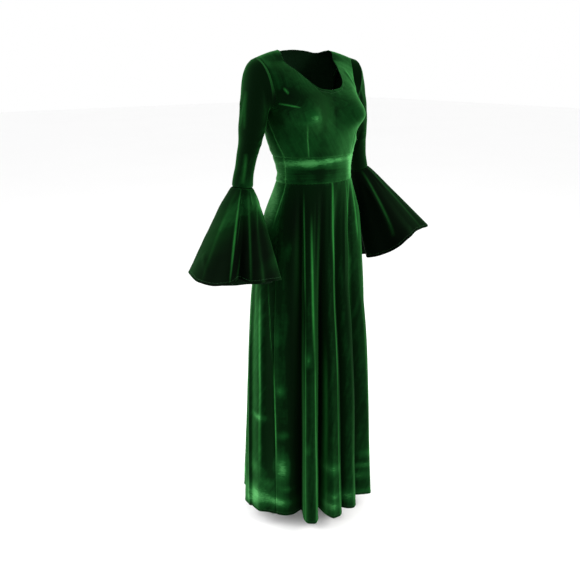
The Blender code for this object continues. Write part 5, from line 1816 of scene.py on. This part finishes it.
def lay_floor(studio):
    half = studio.floor_size / 2
    level = cad_box[0][2] - studio.floor_drop
    corners = [(-half, -half, level), (half, -half, level), (half, half, level), (-half, half, level)]
    mesh = bpy.data.meshes.new("studio_floor")
    mesh.from_pydata(corners, [], [(0, 1, 2, 3)])
    floor = added("studio_floor", mesh)
    coated(floor, pale_floor("studio_floor"))


def hang_light(box, power):
    light = bpy.data.lights.new(box.setting + "_light", "AREA")
    light.shape, light.size, light.size_y = "RECTANGLE", box.width, box.height
    light.energy, light.color = power, box.color
    lamp = added(box.setting + "_light", light)
    lamp.location = box.place
    aim = Vector(box.target) - Vector(box.place)
    lamp.rotation_euler = aim.to_track_quat("-Z", "Y").to_euler()


class GOWN_OT_studio(bpy.types.Operator):
    """Makes the pale floor, the soft lights and the camera"""

    bl_idname = "gown.studio"
    bl_label = "Studio"

    def execute(self, context):
        studio = context.scene.gown.studio
        lay_floor(studio)
        for box in SOFTBOXES:
            hang_light(box, getattr(studio, box.setting))
        world = bpy.data.worlds.new("studio_light")
        world.use_nodes = True
        sky = world.node_tree.nodes["Background"]
        sky.inputs["Color"].default_value = (1, 1, 1, 1)
        sky.inputs["Strength"].default_value = studio.sky
        context.scene.world = world
        context.scene.view_settings.view_transform = "Standard"
        lens = bpy.data.cameras.new("gown_camera")
        lens.lens, lens.sensor_width = CAMERA_LENS, CAMERA_FILM
        camera = added("gown_camera", lens)
        camera.location = CAMERA_PLACE
        camera.rotation_euler = (math.pi / 2 - CAMERA_PITCH, 0, -CAMERA_AIM)
        context.scene.camera = camera
        return {"FINISHED"}


# ---------------------------------------------------------------- add-on

OPERATORS = (GOWN_OT_bodice, GOWN_OT_waistband, GOWN_OT_skirt, GOWN_OT_sleeves, GOWN_OT_bells, GOWN_OT_studio)


class GOWN_PT_panel(bpy.types.Panel):
    """Lists the gown's pieces and settings"""

    bl_idname = "GOWN_PT_panel"
    bl_label = "Velvet Gown"
    bl_space_type = "VIEW_3D"
    bl_region_type = "UI"
    bl_category = "Gown"

    def draw(self, context):
        settings = context.scene.gown
        for operator in OPERATORS:
            self.layout.operator(operator.bl_idname)
        for group in (settings.cloth, settings.velvet, settings.stitches, settings.studio):
            box = self.layout.box()
            for name in group.__annotations__:
                box.prop(group, name)


CLASSES = (GownCloth, GownVelvet, GownStitches, GownStudio, GownSettings, *OPERATORS, GOWN_PT_panel)


def register():
    for cls in CLASSES:
        bpy.utils.register_class(cls)
    bpy.types.Scene.gown = bpy.props.PointerProperty(type=GownSettings)


def unregister():
    del bpy.types.Scene.gown
    for cls in reversed(CLASSES):
        bpy.utils.unregister_class(cls)


def main():
    register()
    bpy.ops.gown.bodice()
    bpy.ops.gown.waistband()
    bpy.ops.gown.skirt()
    bpy.ops.gown.sleeves()
    bpy.ops.gown.bells()
    bpy.ops.gown.studio()


if __name__ == "__main__":
    main()
